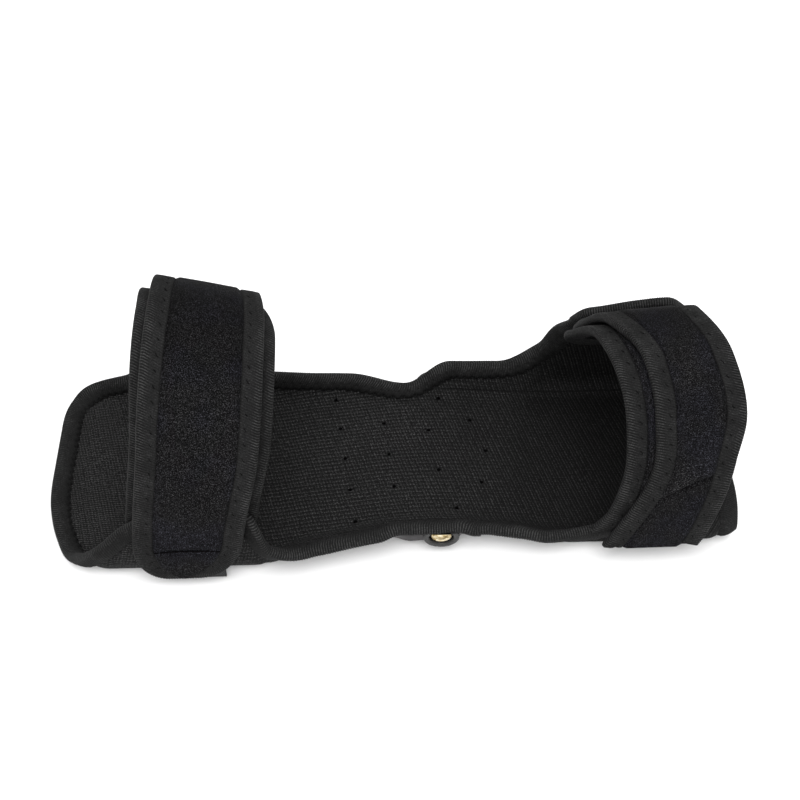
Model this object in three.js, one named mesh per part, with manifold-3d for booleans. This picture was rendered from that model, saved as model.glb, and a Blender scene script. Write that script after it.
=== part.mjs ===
// Spring knee brace, lying on its back with the hollow of the knee upward.
// Millimetres. X runs along the leg from thigh to calf, Y from the near side to the far side, Z is up.
// The origin is on the floor under the middle of the brace.
import * as THREE from "three";
import { mergeVertices } from "three/addons/utils/BufferGeometryUtils.js";
import Module from "manifold-3d";

const wasm = await Module();
wasm.setup();

// Liner panel
const X_LEFT = -169.5;
const X_RIGHT = 171;
const PANEL_HALF = 2.5;
const RIM_HALF = 1.2;
const LIP_HALF = 1.25;
const BEND_RADIUS = 12;
const LEFT_CORNER = 28;
const RIGHT_CORNER = 20;
const CORNER_STEPS = 4;
const STATION_STEP = 8;
const CORNER_POWER = 2.5;
const NEAR_STRAIGHT = { left: 0.08, right: 0.28 };
const FAR_STRAIGHT = { left: 0.5, right: 0.62 };
const FLAT_SHARE = 0.8;
const BEND_SHARE = 0.75;

// Edge tape: its lips reach this far in from the rim, with this clearance round the padding
const TAPE_LIP = 8;
const TAPE_GAP = 0.35;
const TAPE_NOSE = 1.3;
const TAPE_WALL = 0.8;
const TAPE_NOSE_HALF = 2.0;

// Straps
const STRAP_HALF = 1.2;
const STRAP_TAPE_LIP = 8.5;
const STRAP_TAPE_WALL = 0.7;
const STRAP_STEP = 12;
const TONGUE_STEPS = 4;
const TONGUE_STRAIGHT = 0.3;

// Breather holes
const HOLE_RADIUS = 1.1;
const HOLE_SIDES = 6;
const HOLE_LENGTH = 14;

// Spring hinges, one on each side of the knee
const HINGE_X = 25.6;
const ARM_HEIGHT = 11;
const ARM_THICK = 1.6;
const ARM_GAP = 0.9;
const ARM_TOP_FROM_RIM = 0.5;
const ARM_TOP_LIMIT = 17;
const ARM_STEPS = 10;
const ARM_JOINT_GAP = 0.4;
const THIGH_ARM_END = -4;
const CALF_ARM_END = 46;
const BEZEL_RADIUS = 8.8;
const BEZEL_BORE = 6;
const BEZEL_DEPTH = 2.5;
const BEZEL_CHAMFER = 0.8;
const RIVET_RADIUS = 5.6;
const RIVET_DOME = 0.8;
const RIVET_GROOVE = 0.4;
const RIVET_EDGE = 4.8;
const RIVET_RING = 3.4;
const RIVET_EYE = 2.5;
const ROUND_SIDES = 24;

const SMALL_STEP = 0.05;
const LEAST_CURL = 1e-6;
const WELD = 1e-4;

// A short table: one object for each row, with the named columns
function table(columns, rows) {
  return rows.map((row) => Object.fromEntries(columns.map((name, k) => [name, row[k]])));
}

// Floor of the trough: its middle, its height above the ground and half the width of its flat
const FLOOR = table(["x", "middle", "lift", "flat"], [
  [-168, 8.0, 3.6, 44],
  [-152, 5.6, 0.0, 47],
  [-134, 3.2, 0.0, 48],
  [-66, 3.0, 0.0, 48],
  [-34, 4.0, 3.5, 42],
  [17, 6.0, 7.0, 37],
  [62, 6.3, 3.5, 39],
  [92, 6.5, 0.0, 43],
  [156, 6.5, 0.0, 43],
  [171, 6.5, 3.6, 41],
]);

// Sides of the trough: degrees they bend up, reach past the flat, and curl of the wings in 1/mm
const NEAR_SIDE = table(["x", "bend", "reach", "curl"], [
  [-168, 30, 8.5, 0],
  [-156, 44, 13, 0],
  [-146, 64, 21, 0.001],
  [-136, 80, 30, 0.003],
  [-124, 90, 40, 0.00576],
  [-112, 90, 46, 0.00576],
  [-68, 90, 46, 0.00576],
  [-57, 62, 30, 0.002],
  [-38, 44, 24, 0],
  [-6, 44, 22, 0],
  [12, 82, 17.5, 0],
  [30, 82, 18, 0],
  [42, 46, 20, 0],
  [72, 42, 25, 0],
  [96, 72, 22, 0.003],
  [108, 88, 26, 0.00882],
  [122, 90, 46, 0.00882],
  [132, 90, 53, 0.00882],
  [154, 90, 64, 0.00882],
  [171, 90, 44, 0.00882],
]);
const FAR_SIDE = table(["x", "bend", "reach", "curl"], [
  [-168, 46, 17, 0],
  [-152, 54, 17.5, 0],
  [-137, 68, 21, 0.002],
  [-124, 90, 45, 0.00576],
  [-98, 90, 50, 0.00576],
  [-78, 90, 44, 0.00576],
  [-62, 72, 21, 0.002],
  [-18, 66, 19.5, 0],
  [12, 58, 13, 0],
  [36, 66, 25, 0],
  [62, 64, 25, 0],
  [84, 74, 36, 0.004],
  [96, 90, 67, 0.00882],
  [104, 90, 82, 0.00882],
  [142, 90, 90, 0.0078],
  [154, 90, 76, 0.0078],
  [171, 84, 50, 0.0078],
]);

// Cuffs: the oval that wings and straps follow, as side arcs that turn by some degrees and a crown arc,
// and the place along X about which its straps lean
const CUFFS = table(["name", "middle", "half", "rise", "turn", "pivot"], [
  ["thigh", 3.0, 60, 108, 30, -84],
  ["calf", 6.5, 55, 83, 35, 132],
]);

// Lean of a cuff's straps, as rise for each mm along X, at lengths from the oval's near foot
const LEANS = {
  thigh: table(["along", "lean"], [
    [30, 0],
    [132, -0.32],
    [170, -0.26],
    [236.6, 0],
  ]),
  calf: table(["along", "lean"], [
    [47, 0],
    [90, 0.08],
    [116, 0.1],
    [145.4, 0.04],
    [167, 0],
  ]),
};

// Straps: middle along X, width, and layer outside the wing's middle, at lengths from the oval's near foot
const RUN = ["along", "middle", "width", "layer"];
const STRAPS = [
  { name: "thigh_under", cuff: "thigh", tongue: "far", tongueDepth: 18, run: table(RUN, [
    [8, -95.5, 60, -6.6],
    [30, -92, 60.5, -6.6],
    [70, -85.4, 61.5, -7.6],
    [132, -82, 59.5, -9.1],
    [170, -86, 55, -10.2],
    [236.6, -87.5, 56, -11.6],
    [244.6, -88, 56, -11.6],
  ]) },
  { name: "thigh_over", cuff: "thigh", tongue: "near", tongueDepth: 22, run: table(RUN, [
    [-5, -98, 47, 7],
    [30, -92.6, 50, 7],
    [65, -86.2, 52, 5.4],
    [132, -80.8, 48.5, 0.2],
    [170, -83.5, 46, -3.2],
    [236.6, -86, 47, -6.6],
    [256.6, -87, 47, -6.6],
  ]) },
  { name: "calf_under", cuff: "calf", tongue: "far", tongueDepth: 16, run: table(RUN, [
    [8, 120, 44, 5.6],
    [19, 127.6, 43, 5.6],
    [47, 133.4, 42, 5.6],
    [66, 132.8, 42, 5],
    [110, 123, 42, -1.8],
    [145.4, 114.5, 44, -12],
    [167, 112, 44, -12],
  ]) },
  { name: "calf_over", cuff: "calf", tongue: "none", tongueDepth: 0, run: table(RUN, [
    [3, 125.5, 44, 10.9],
    [10, 129, 43, 10.9],
    [47, 142.2, 35.5, 10.9],
    [66, 144, 39.5, 10.3],
    [90, 139.4, 38.5, 7.9],
    [116, 128.4, 42, 2.6],
    [145.4, 124, 49, -6.6],
    [163, 122, 49, -6.6],
  ]) },
];

// Hinges: side of the knee, drop of the round housing from the arms' upper edge, and its clearance
const HINGES = table(["label", "direction", "drop", "seat"], [
  ["near", -1, 3.8, 0.6],
  ["far", 1, 8, 0.9],
]);

// Hook tab: layers of its two faces, sides from the strap's middle, and its ends along the oval
const TAB = { inner: 3.2, outer: 4.3, left: -14, right: 19, top: 22, foot: -11, cut: 9 };

// Breather holes: three slanting columns and a curved one, as distance across from the middle
const HOLE_COLUMNS = table(["x", "slant", "first", "pitch", "count"], [
  [-20.5, -0.11, -39, 21.3, 5],
  [2, -0.09, -19, 22, 3],
  [25.5, -0.14, -9, 27.5, 2],
]);
const HOLE_ARC = { x: 6, across: 2, radius: 46, first: -52, pitch: 28, count: 5 };

const FABRIC = { color: 0x18181b, roughness: 0.95, metalness: 0 };
const TAPE = { color: 0x202023, roughness: 0.85, metalness: 0 };
const PLUSH = { color: 0x15151b, roughness: 1, metalness: 0 };
const PLATE = { color: 0x2b2c30, roughness: 0.5, metalness: 0.4 };
const PLASTIC = { color: 0x0f0f11, roughness: 0.45, metalness: 0 };
const BRASS = { color: 0xb39159, roughness: 0.35, metalness: 1 };

const radians = THREE.MathUtils.degToRad;
const clamp = THREE.MathUtils.clamp;
const lerp = THREE.MathUtils.lerp;

// Value of one column at x: cubic pieces that keep the rows' rises and falls without overshoot
function smooth(rows, key, column, x) {
  const last = rows.length - 1;
  const at = clamp(x, rows[0][key], rows[last][key]);
  const found = rows.findIndex((row) => row[key] >= at);
  const i = clamp(found - 1, 0, last - 1);
  const slope = (k) => (rows[k + 1][column] - rows[k][column]) / (rows[k + 1][key] - rows[k][key]);
  const tangent = (k) => {
    if (k === 0 || k === last) return slope(Math.min(k, last - 1));
    const before = slope(k - 1);
    const after = slope(k);
    return before * after <= 0 ? 0 : (2 * before * after) / (before + after);
  };
  const step = rows[i + 1][key] - rows[i][key];
  const t = (at - rows[i][key]) / step;
  const start = (1 + 2 * t) * (1 - t) * (1 - t) * rows[i][column] + t * (1 - t) * (1 - t) * step * tangent(i);
  const end = t * t * (3 - 2 * t) * rows[i + 1][column] + t * t * (t - 1) * step * tangent(i + 1);
  return start + end;
}

const onFloor = (column, x) => smooth(FLOOR, "x", column, x);
const sideAt = (across) => (across < 0 ? NEAR_SIDE : FAR_SIDE);

// Middle of the panel's wall: flat, then an arc of the bend radius, then a straight or gently curled wing
function panelSurface(x, across) {
  const side = sideAt(across);
  const distance = Math.abs(across);
  const flat = onFloor("flat", x);
  const bend = radians(smooth(side, "x", "bend", x));
  const curl = Math.max(smooth(side, "x", "curl", x), LEAST_CURL);
  const turn = clamp((distance - flat) / BEND_RADIUS, 0, bend);
  const rest = Math.max(distance - flat - BEND_RADIUS * bend, 0);
  const lean = bend + rest * curl;
  const wingOut = (Math.sin(lean) - Math.sin(bend)) / curl;
  const wingUp = (Math.cos(bend) - Math.cos(lean)) / curl;
  const out = Math.min(distance, flat) + BEND_RADIUS * Math.sin(turn) + wingOut;
  const up = BEND_RADIUS * (1 - Math.cos(turn)) + wingUp;
  const y = onFloor("middle", x) + Math.sign(across) * out;
  return new THREE.Vector3(x, y, onFloor("lift", x) + PANEL_HALF + up);
}

// Unit normal of a surface of two lengths, by small steps to either side
function normalOf(surface, a, b) {
  const alongA = surface(a + SMALL_STEP, b).sub(surface(a - SMALL_STEP, b));
  const alongB = surface(a, b + SMALL_STEP).sub(surface(a, b - SMALL_STEP));
  return alongA.cross(alongB).normalize();
}

function lifted(surface, [a, b], height) {
  return surface(a, b).addScaledVector(normalOf(surface, a, b), height);
}

// Half width of the panel to one side, with elliptic corners at the two ends
function panelHalf(x, side, straight) {
  const full = onFloor("flat", x) + smooth(side, "x", "reach", x);
  const left = clamp((x - X_LEFT) / LEFT_CORNER, 0, 1);
  const right = clamp((X_RIGHT - x) / RIGHT_CORNER, 0, 1);
  const bow = (t) => (1 - (1 - t) ** CORNER_POWER) ** (1 / CORNER_POWER);
  return full * lerp(straight.left, 1, bow(left)) * lerp(straight.right, 1, bow(right));
}

// Stations along the leg: close together round the corners, even between them
function panelStations() {
  const fromEnd = (depth, k) => depth * (1 - Math.cos((k / CORNER_STEPS) * (Math.PI / 2)));
  const steps = [...Array(CORNER_STEPS).keys()];
  const left = steps.map((k) => X_LEFT + fromEnd(LEFT_CORNER, k));
  const right = steps.map((k) => X_RIGHT - fromEnd(RIGHT_CORNER, k)).reverse();
  const start = X_LEFT + LEFT_CORNER;
  const span = X_RIGHT - RIGHT_CORNER - start;
  const count = Math.round(span / STATION_STEP);
  const middle = [...Array(count + 1).keys()].map((k) => start + (span * k) / count);
  return [...left, ...middle, ...right];
}

// Distances from the middle line at which one half of the panel is divided, out to the tape's lip
function acrossLines(x, outer, side) {
  const flat = Math.min(onFloor("flat", x), FLAT_SHARE * outer);
  const arc = BEND_RADIUS * radians(smooth(side, "x", "bend", x));
  const bend = Math.min(arc, BEND_SHARE * (outer - flat));
  const wing = flat + bend;
  return [0, flat / 2, flat, flat + bend / 3, flat + (2 * bend) / 3, wing, (wing + outer) / 2, outer];
}

// Inward unit steps along a flat outline that runs with the sheet on its left
function inwardSteps(outline, closed) {
  const last = outline.length - 1;
  return outline.map((_, k) => {
    const before = closed ? outline[(k + last) % (last + 1)] : outline[Math.max(k - 1, 0)];
    const after = closed ? outline[(k + 1) % (last + 1)] : outline[Math.min(k + 1, last)];
    const run = Math.hypot(after[0] - before[0], after[1] - before[1]);
    return [-(after[1] - before[1]) / run, (after[0] - before[0]) / run];
  });
}

const shifted = ([a, b], [da, db], by) => [a + da * by, b + db * by];

// Flat pattern of the panel: its rim in order round the edge, and the rows of points inside the tape's lip
function panelPattern() {
  const stations = panelStations();
  const near = stations.map((x) => [x, -panelHalf(x, NEAR_SIDE, NEAR_STRAIGHT)]);
  const far = stations.map((x) => [x, panelHalf(x, FAR_SIDE, FAR_STRAIGHT)]);
  const edge = [...near, ...[...far].reverse()];
  const inner = inwardSteps(edge, true).map((step, k) => shifted(edge[k], step, TAPE_LIP));
  const rows = stations.map((x, i) => {
    const a = inner[i];
    const b = inner[edge.length - 1 - i];
    const nearLines = acrossLines(x, -a[1], NEAR_SIDE).reverse().map((s) => -s);
    const farLines = acrossLines(x, b[1], FAR_SIDE).slice(1);
    return [...nearLines, ...farLines].map((s) => [lerp(a[0], b[0], (s - a[1]) / (b[1] - a[1])), s]);
  });
  const endLine = (row, a, b) =>
    row.slice(1, -1).map(([, s]) => {
      const share = (s - row[0][1]) / (row[row.length - 1][1] - row[0][1]);
      return [a[0], lerp(a[1], b[1], share)];
    });
  const lastStation = stations.length - 1;
  const lines = rows[0].length;
  const rightEnd = endLine(rows[lastStation], near[lastStation], far[lastStation]);
  const leftEnd = endLine(rows[0], near[0], far[0]).reverse();
  const rim = [...near, ...rightEnd, ...[...far].reverse(), ...leftEnd];
  const lip = [
    ...rows.map((_, i) => [i, 0]),
    ...rightEnd.map((_, j) => [lastStation, j + 1]),
    ...rows.map((_, i) => [lastStation - i, lines - 1]),
    ...leftEnd.map((_, j) => [0, lines - 2 - j]),
  ];
  return { rows, rim, lip };
}

function closedGeometry(points, faces) {
  const geometry = new THREE.BufferGeometry();
  geometry.setAttribute("position", new THREE.Float32BufferAttribute(points.flatMap((p) => p.toArray()), 3));
  geometry.setIndex(faces.flat());
  geometry.computeVertexNormals();
  return geometry;
}

// Two triangles for four corners, split from the first corner or from the second
const quad = (a, b, c, d) => [[a, b, c], [a, c, d]];
const quadSplitFromSecond = (a, b, c, d) => [[a, b, d], [b, c, d]];

// Padded panel: full thickness inside, pressed thin under the tape
function panelGeometry({ rows, rim, lip }) {
  const lines = rows[0].length;
  const last = rows.length - 1;
  const onLip = (i, j) => i === 0 || j === 0 || i === last || j === lines - 1;
  const halves = rows.flatMap((row, i) => row.map((_, j) => (onLip(i, j) ? LIP_HALF : PANEL_HALF)));
  const flat = [...rows.flat(), ...rim];
  const half = [...halves, ...rim.map(() => RIM_HALF)];
  const top = flat.map((p, k) => lifted(panelSurface, p, half[k]));
  const bottom = flat.map((p, k) => lifted(panelSurface, p, -half[k]));
  const inside = ([i, j]) => i * lines + j;
  const onRim = (k) => rows.length * lines + (k % rim.length);
  const upper = [];
  for (let i = 0; i < last; i++) {
    for (let j = 0; j < lines - 1; j++) {
      upper.push(...quad(inside([i, j]), inside([i + 1, j]), inside([i + 1, j + 1]), inside([i, j + 1])));
    }
  }
  for (let k = 0; k < rim.length; k++) {
    const next = lip[(k + 1) % rim.length];
    upper.push(...quad(onRim(k), onRim(k + 1), inside(next), inside(lip[k])));
  }
  const below = flat.length;
  const lower = upper.map(([a, b, c]) => [a + below, c + below, b + below]);
  const wall = rim.flatMap((_, k) => quad(onRim(k) + below, onRim(k + 1) + below, onRim(k + 1), onRim(k)));
  return closedGeometry([...top, ...bottom], [...upper, ...lower, ...wall]);
}

// Edge tape folded over a rim: two lips that end over the inner points, joined round the rim by a nose
function tapeGeometry(surface, rim, inner, closed, size) {
  const outward = rim.map(([a, b], k) => {
    const run = Math.hypot(a - inner[k][0], b - inner[k][1]);
    return [(a - inner[k][0]) / run, (b - inner[k][1]) / run];
  });
  const section = rim.flatMap((p, k) => {
    const nose = shifted(p, outward[k], TAPE_NOSE);
    const slot = shifted(p, outward[k], TAPE_GAP);
    return [
      lifted(surface, inner[k], size.lipSlot + size.wall),
      lifted(surface, nose, size.nose),
      lifted(surface, nose, -size.nose),
      lifted(surface, inner[k], -size.lipSlot - size.wall),
      lifted(surface, inner[k], -size.lipSlot),
      lifted(surface, slot, -size.rimSlot),
      lifted(surface, slot, size.rimSlot),
      lifted(surface, inner[k], size.lipSlot),
    ];
  });
  const sides = 8;
  const fromLipToRim = [0, 4];
  const at = (k, side) => (k % rim.length) * sides + (side % sides);
  const faces = [];
  for (let k = 0; k < (closed ? rim.length : rim.length - 1); k++) {
    for (let side = 0; side < sides; side++) {
      const split = fromLipToRim.includes(side) ? quadSplitFromSecond : quad;
      faces.push(...split(at(k, side), at(k, side + 1), at(k + 1, side + 1), at(k + 1, side)));
    }
  }
  if (!closed) {
    const cap = [...quad(0, 7, 6, 1), ...quad(1, 6, 5, 2), ...quad(2, 5, 4, 3)];
    const end = (rim.length - 1) * sides;
    faces.push(...cap, ...cap.map(([a, b, c]) => [a + end, c + end, b + end]));
  }
  return closedGeometry(section, faces);
}

// Oval of a cuff: gives the point at some length from its near foot, in some layer outside it
function cuffOval(cuff) {
  const turn = radians(cuff.turn);
  const spread = (cuff.rise - cuff.half) / (Math.cos(turn) + Math.sin(turn) - 1);
  const sideRadius = cuff.half + spread * Math.cos(turn);
  const crownRadius = cuff.rise - spread * Math.sin(turn);
  const foot = PANEL_HALF + BEND_RADIUS;
  const sideLength = sideRadius * turn;
  const crownLength = crownRadius * (Math.PI - 2 * turn);
  const length = 2 * sideLength + crownLength;
  const point = (along, layer) => {
    if (along < 0) return [cuff.middle - cuff.half - layer, foot + along];
    if (along > length) return [cuff.middle + cuff.half + layer, foot - (along - length)];
    let angle = along / sideRadius;
    let centre = [cuff.middle - cuff.half + sideRadius, foot];
    let radius = sideRadius;
    if (along > sideLength + crownLength) {
      angle = Math.PI - (length - along) / sideRadius;
      centre = [cuff.middle + cuff.half - sideRadius, foot];
    } else if (along > sideLength) {
      angle = turn + (along - sideLength) / crownRadius;
      centre = [cuff.middle, foot + spread * Math.sin(turn)];
      radius = crownRadius;
    }
    return [centre[0] - (radius + layer) * Math.cos(angle), centre[1] + (radius + layer) * Math.sin(angle)];
  };
  return point;
}

// Middle of a strap: it follows the oval, changes layer on the way over and leans along the leg
function strapPath(strap) {
  const cuff = CUFFS.find((row) => row.name === strap.cuff);
  const point = cuffOval(cuff);
  const onRun = (column, along) => smooth(strap.run, "along", column, along);
  const surface = (across, along) => {
    const [y, z] = point(along, onRun("layer", along));
    const x = onRun("middle", along) + across;
    return new THREE.Vector3(x, y, z + smooth(LEANS[strap.cuff], "along", "lean", along) * (x - cuff.pivot));
  };
  return { surface, start: strap.run[0].along, end: strap.run[strap.run.length - 1].along };
}

// Stations along a strap with the half width at each, narrowing to a round tongue at one end
function strapStations(strap, path) {
  const depth = strap.tongueDepth;
  const halfAt = (along) => smooth(strap.run, "along", "width", along) / 2;
  const from = strap.tongue === "near" ? path.start + depth : path.start;
  const to = strap.tongue === "far" ? path.end - depth : path.end;
  const count = Math.round((to - from) / STRAP_STEP);
  const even = [...Array(count + 1).keys()].map((k) => {
    const along = lerp(from, to, k / count);
    return { along, half: halfAt(along) };
  });
  if (strap.tongue === "none") return even;
  const round = [...Array(TONGUE_STEPS).keys()].map((k) => {
    const angle = ((k + 1) / TONGUE_STEPS) * (Math.PI / 2);
    const reach = depth * Math.sin(angle);
    const along = strap.tongue === "far" ? to + reach : from - reach;
    return { along, half: halfAt(along) * lerp(TONGUE_STRAIGHT, 1, Math.cos(angle)) };
  });
  return strap.tongue === "far" ? [...even, ...round] : [...round.reverse(), ...even];
}

// Strap of even thickness
function strapGeometry(surface, stations) {
  const points = stations.flatMap(({ along, half }) => [
    lifted(surface, [-half, along], STRAP_HALF),
    lifted(surface, [half, along], STRAP_HALF),
    lifted(surface, [half, along], -STRAP_HALF),
    lifted(surface, [-half, along], -STRAP_HALF),
  ]);
  return closedGeometry(points, barFaces(stations.length));
}

// Faces of a bar with four corners at each station
function barFaces(count) {
  const faces = [];
  for (let k = 0; k < count - 1; k++) {
    for (let side = 0; side < 4; side++) {
      const next = (side + 1) % 4;
      faces.push(...quad(4 * k + side, 4 * k + next, 4 * k + 4 + next, 4 * k + 4 + side));
    }
  }
  const end = 4 * (count - 1);
  return [...faces, ...quad(0, 3, 2, 1), ...quad(end, end + 1, end + 2, end + 3)];
}

// Edge tape of a strap: round its tongue where it has one, otherwise one length for each edge
function strapTapes(strap, surface, stations) {
  const size = {
    lipSlot: STRAP_HALF + TAPE_GAP, rimSlot: STRAP_HALF + TAPE_GAP, wall: STRAP_TAPE_WALL, nose: TAPE_NOSE_HALF,
  };
  const left = stations.map(({ along, half }) => [-half, along]).reverse();
  const right = stations.map(({ along, half }) => [half, along]);
  const made = (outline) => {
    const inner = inwardSteps(outline, false).map((step, k) => shifted(outline[k], step, STRAP_TAPE_LIP));
    return tapeGeometry(surface, outline, inner, false, size);
  };
  if (strap.tongue === "near") return { [`${strap.name}_binding`]: made([...left, ...right]) };
  if (strap.tongue === "far") return { [`${strap.name}_binding`]: made([...right, ...left]) };
  return { [`${strap.name}_binding_left`]: made(left), [`${strap.name}_binding_right`]: made(right) };
}

// Manifold solids, for cutting only
function toSolid(geometry) {
  const bare = geometry.clone();
  bare.deleteAttribute("normal");
  bare.deleteAttribute("uv");
  const merged = mergeVertices(bare, WELD);
  const vertProperties = new Float32Array(merged.attributes.position.array);
  const triVerts = new Uint32Array(merged.index.array);
  return new wasm.Manifold(new wasm.Mesh({ numProp: 3, vertProperties, triVerts }));
}

function fromSolid(solid) {
  const mesh = solid.getMesh();
  const geometry = new THREE.BufferGeometry();
  geometry.setAttribute("position", new THREE.BufferAttribute(new Float32Array(mesh.vertProperties), 3));
  geometry.setIndex(new THREE.BufferAttribute(new Uint32Array(mesh.triVerts), 1));
  geometry.computeVertexNormals();
  return geometry;
}

// Places of the breather holes on the flat pattern
function holePlaces() {
  const columns = HOLE_COLUMNS.flatMap(({ x, slant, first, pitch, count }) =>
    [...Array(count).keys()].map((k) => [x + slant * (first + k * pitch), first + k * pitch]));
  const arc = [...Array(HOLE_ARC.count).keys()].map((k) => {
    const angle = radians(HOLE_ARC.first + k * HOLE_ARC.pitch);
    return [
      HOLE_ARC.x + HOLE_ARC.radius * Math.cos(angle),
      HOLE_ARC.across + HOLE_ARC.radius * Math.sin(angle),
    ];
  });
  return [...columns, ...arc];
}

function pierced(geometry) {
  const up = new THREE.Vector3(0, 1, 0);
  return fromSolid(holePlaces().reduce((solid, [x, across]) => {
    const cutter = new THREE.CylinderGeometry(HOLE_RADIUS, HOLE_RADIUS, HOLE_LENGTH, HOLE_SIDES);
    const turn = new THREE.Quaternion().setFromUnitVectors(up, normalOf(panelSurface, x, across));
    cutter.applyQuaternion(turn);
    cutter.translate(...panelSurface(x, across).toArray());
    return solid.subtract(toSolid(cutter));
  }, toSolid(geometry)));
}

// Hook tab under the tongue of the thigh strap: one corner shows past the tongue
function hookTabGeometry() {
  const strap = STRAPS.find((row) => row.name === "thigh_over");
  const path = strapPath(strap);
  const stations = [
    { along: TAB.foot, left: TAB.left + TAB.cut, right: TAB.right },
    { along: TAB.foot + TAB.cut, left: TAB.left, right: TAB.right },
    { along: TAB.top, left: TAB.left, right: TAB.right },
  ];
  const points = stations.flatMap(({ along, left, right }) => [
    lifted(path.surface, [left, along], TAB.outer - strap.run[0].layer),
    lifted(path.surface, [right, along], TAB.outer - strap.run[0].layer),
    lifted(path.surface, [right, along], TAB.inner - strap.run[0].layer),
    lifted(path.surface, [left, along], TAB.inner - strap.run[0].layer),
  ]);
  return closedGeometry(points, barFaces(stations.length));
}

// Line on the outside of the wall that a hinge arm hangs from, with the ways out of and down the wall
function armLine(direction, x) {
  const flat = onFloor("flat", x);
  const rim = flat + smooth(sideAt(direction), "x", "reach", x);
  const across = direction * Math.min(rim - ARM_TOP_FROM_RIM, flat + ARM_TOP_LIMIT);
  const out = normalOf(panelSurface, x, across).negate();
  const down = out.clone().cross(new THREE.Vector3(direction, 0, 0)).normalize();
  const place = panelSurface(x, across).addScaledVector(out, PANEL_HALF + ARM_GAP);
  return { place, out, down };
}

// Hinge arm: a bar that lies against the outside of the wall, straight down from a line near the rim
function armGeometry(direction, from, to) {
  const points = [...Array(ARM_STEPS + 1).keys()].flatMap((k) => {
    const { place, out, down } = armLine(direction, lerp(from, to, k / ARM_STEPS));
    const outer = place.clone().addScaledVector(out, ARM_THICK);
    const foot = (p) => p.clone().addScaledVector(down, ARM_HEIGHT);
    const corners = [place, outer, foot(outer), foot(place)];
    return direction < 0 ? corners : corners.reverse();
  });
  return closedGeometry(points, barFaces(ARM_STEPS + 1));
}

// Turned piece about the Y axis from a profile of radius and depth pairs
function turned(profile) {
  const points = profile.map(([radius, depth]) => new THREE.Vector2(radius, depth));
  const geometry = new THREE.LatheGeometry(points, ROUND_SIDES);
  geometry.deleteAttribute("uv");
  geometry.deleteAttribute("normal");
  const merged = mergeVertices(geometry, WELD);
  merged.computeVertexNormals();
  return merged;
}

const bezelGeometry = turned([
  [BEZEL_BORE, 0],
  [BEZEL_RADIUS, 0],
  [BEZEL_RADIUS, BEZEL_DEPTH - BEZEL_CHAMFER],
  [BEZEL_RADIUS - BEZEL_CHAMFER, BEZEL_DEPTH],
  [BEZEL_BORE + BEZEL_CHAMFER, BEZEL_DEPTH],
  [BEZEL_BORE, BEZEL_DEPTH - BEZEL_CHAMFER],
  [BEZEL_BORE, 0],
]);
const rivetGeometry = turned([
  [0, 0],
  [RIVET_RADIUS, 0],
  [RIVET_RADIUS, BEZEL_DEPTH - BEZEL_CHAMFER],
  [RIVET_EDGE, BEZEL_DEPTH + RIVET_DOME / 2],
  [RIVET_RING, BEZEL_DEPTH + RIVET_DOME - RIVET_GROOVE],
  [RIVET_EYE, BEZEL_DEPTH + RIVET_DOME],
  [0, BEZEL_DEPTH + RIVET_DOME],
]);

const brace = new THREE.Group();

function addMesh(name, geometry, look, parent = brace) {
  geometry.name = name;
  const mesh = new THREE.Mesh(geometry, new THREE.MeshStandardMaterial(look));
  mesh.name = name;
  parent.add(mesh);
}

function addPanel() {
  const pattern = panelPattern();
  addMesh("liner_panel", pierced(panelGeometry(pattern)), FABRIC);
  const inner = pattern.lip.map(([i, j]) => pattern.rows[i][j]);
  const size = {
    lipSlot: LIP_HALF + TAPE_GAP, rimSlot: RIM_HALF + TAPE_GAP, wall: TAPE_WALL, nose: TAPE_NOSE_HALF,
  };
  addMesh("panel_binding", tapeGeometry(panelSurface, pattern.rim, inner, true, size), TAPE);
}

function addStraps() {
  for (const strap of STRAPS) {
    const path = strapPath(strap);
    const stations = strapStations(strap, path);
    addMesh(`${strap.name}_strap`, strapGeometry(path.surface, stations), PLUSH);
    for (const [name, geometry] of Object.entries(strapTapes(strap, path.surface, stations))) {
      addMesh(name, geometry, TAPE);
    }
  }
  addMesh("thigh_hook_tab", hookTabGeometry(), FABRIC);
}

// Hinge of one side: two arms and, over their joint, the spring's round housing with its rivet
function addHinge({ label, direction, drop, seat }) {
  addMesh(`${label}_thigh_arm`, armGeometry(direction, THIGH_ARM_END, HINGE_X - ARM_JOINT_GAP / 2), PLATE);
  addMesh(`${label}_calf_arm`, armGeometry(direction, HINGE_X + ARM_JOINT_GAP / 2, CALF_ARM_END), PLATE);
  const { place, out, down } = armLine(direction, HINGE_X);
  const hinge = new THREE.Group();
  hinge.position.copy(place).addScaledVector(out, ARM_THICK + seat).addScaledVector(down, drop);
  hinge.quaternion.setFromUnitVectors(new THREE.Vector3(0, 1, 0), out);
  brace.add(hinge);
  addMesh(`${label}_spring_housing`, bezelGeometry.clone(), PLASTIC, hinge);
  addMesh(`${label}_hinge_rivet`, rivetGeometry.clone(), BRASS, hinge);
}

addPanel();
addStraps();
HINGES.forEach(addHinge);

export default brace;
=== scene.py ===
"""Spring knee brace lying on its back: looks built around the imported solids.

Lengths are millimetres until a mesh is made, and metres in the mesh. X runs along the leg from thigh
to calf, Y from the near side to the far side, Z is up.
"""

import bmesh
import bpy
import numpy as np
from mathutils import Matrix, Vector


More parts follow.
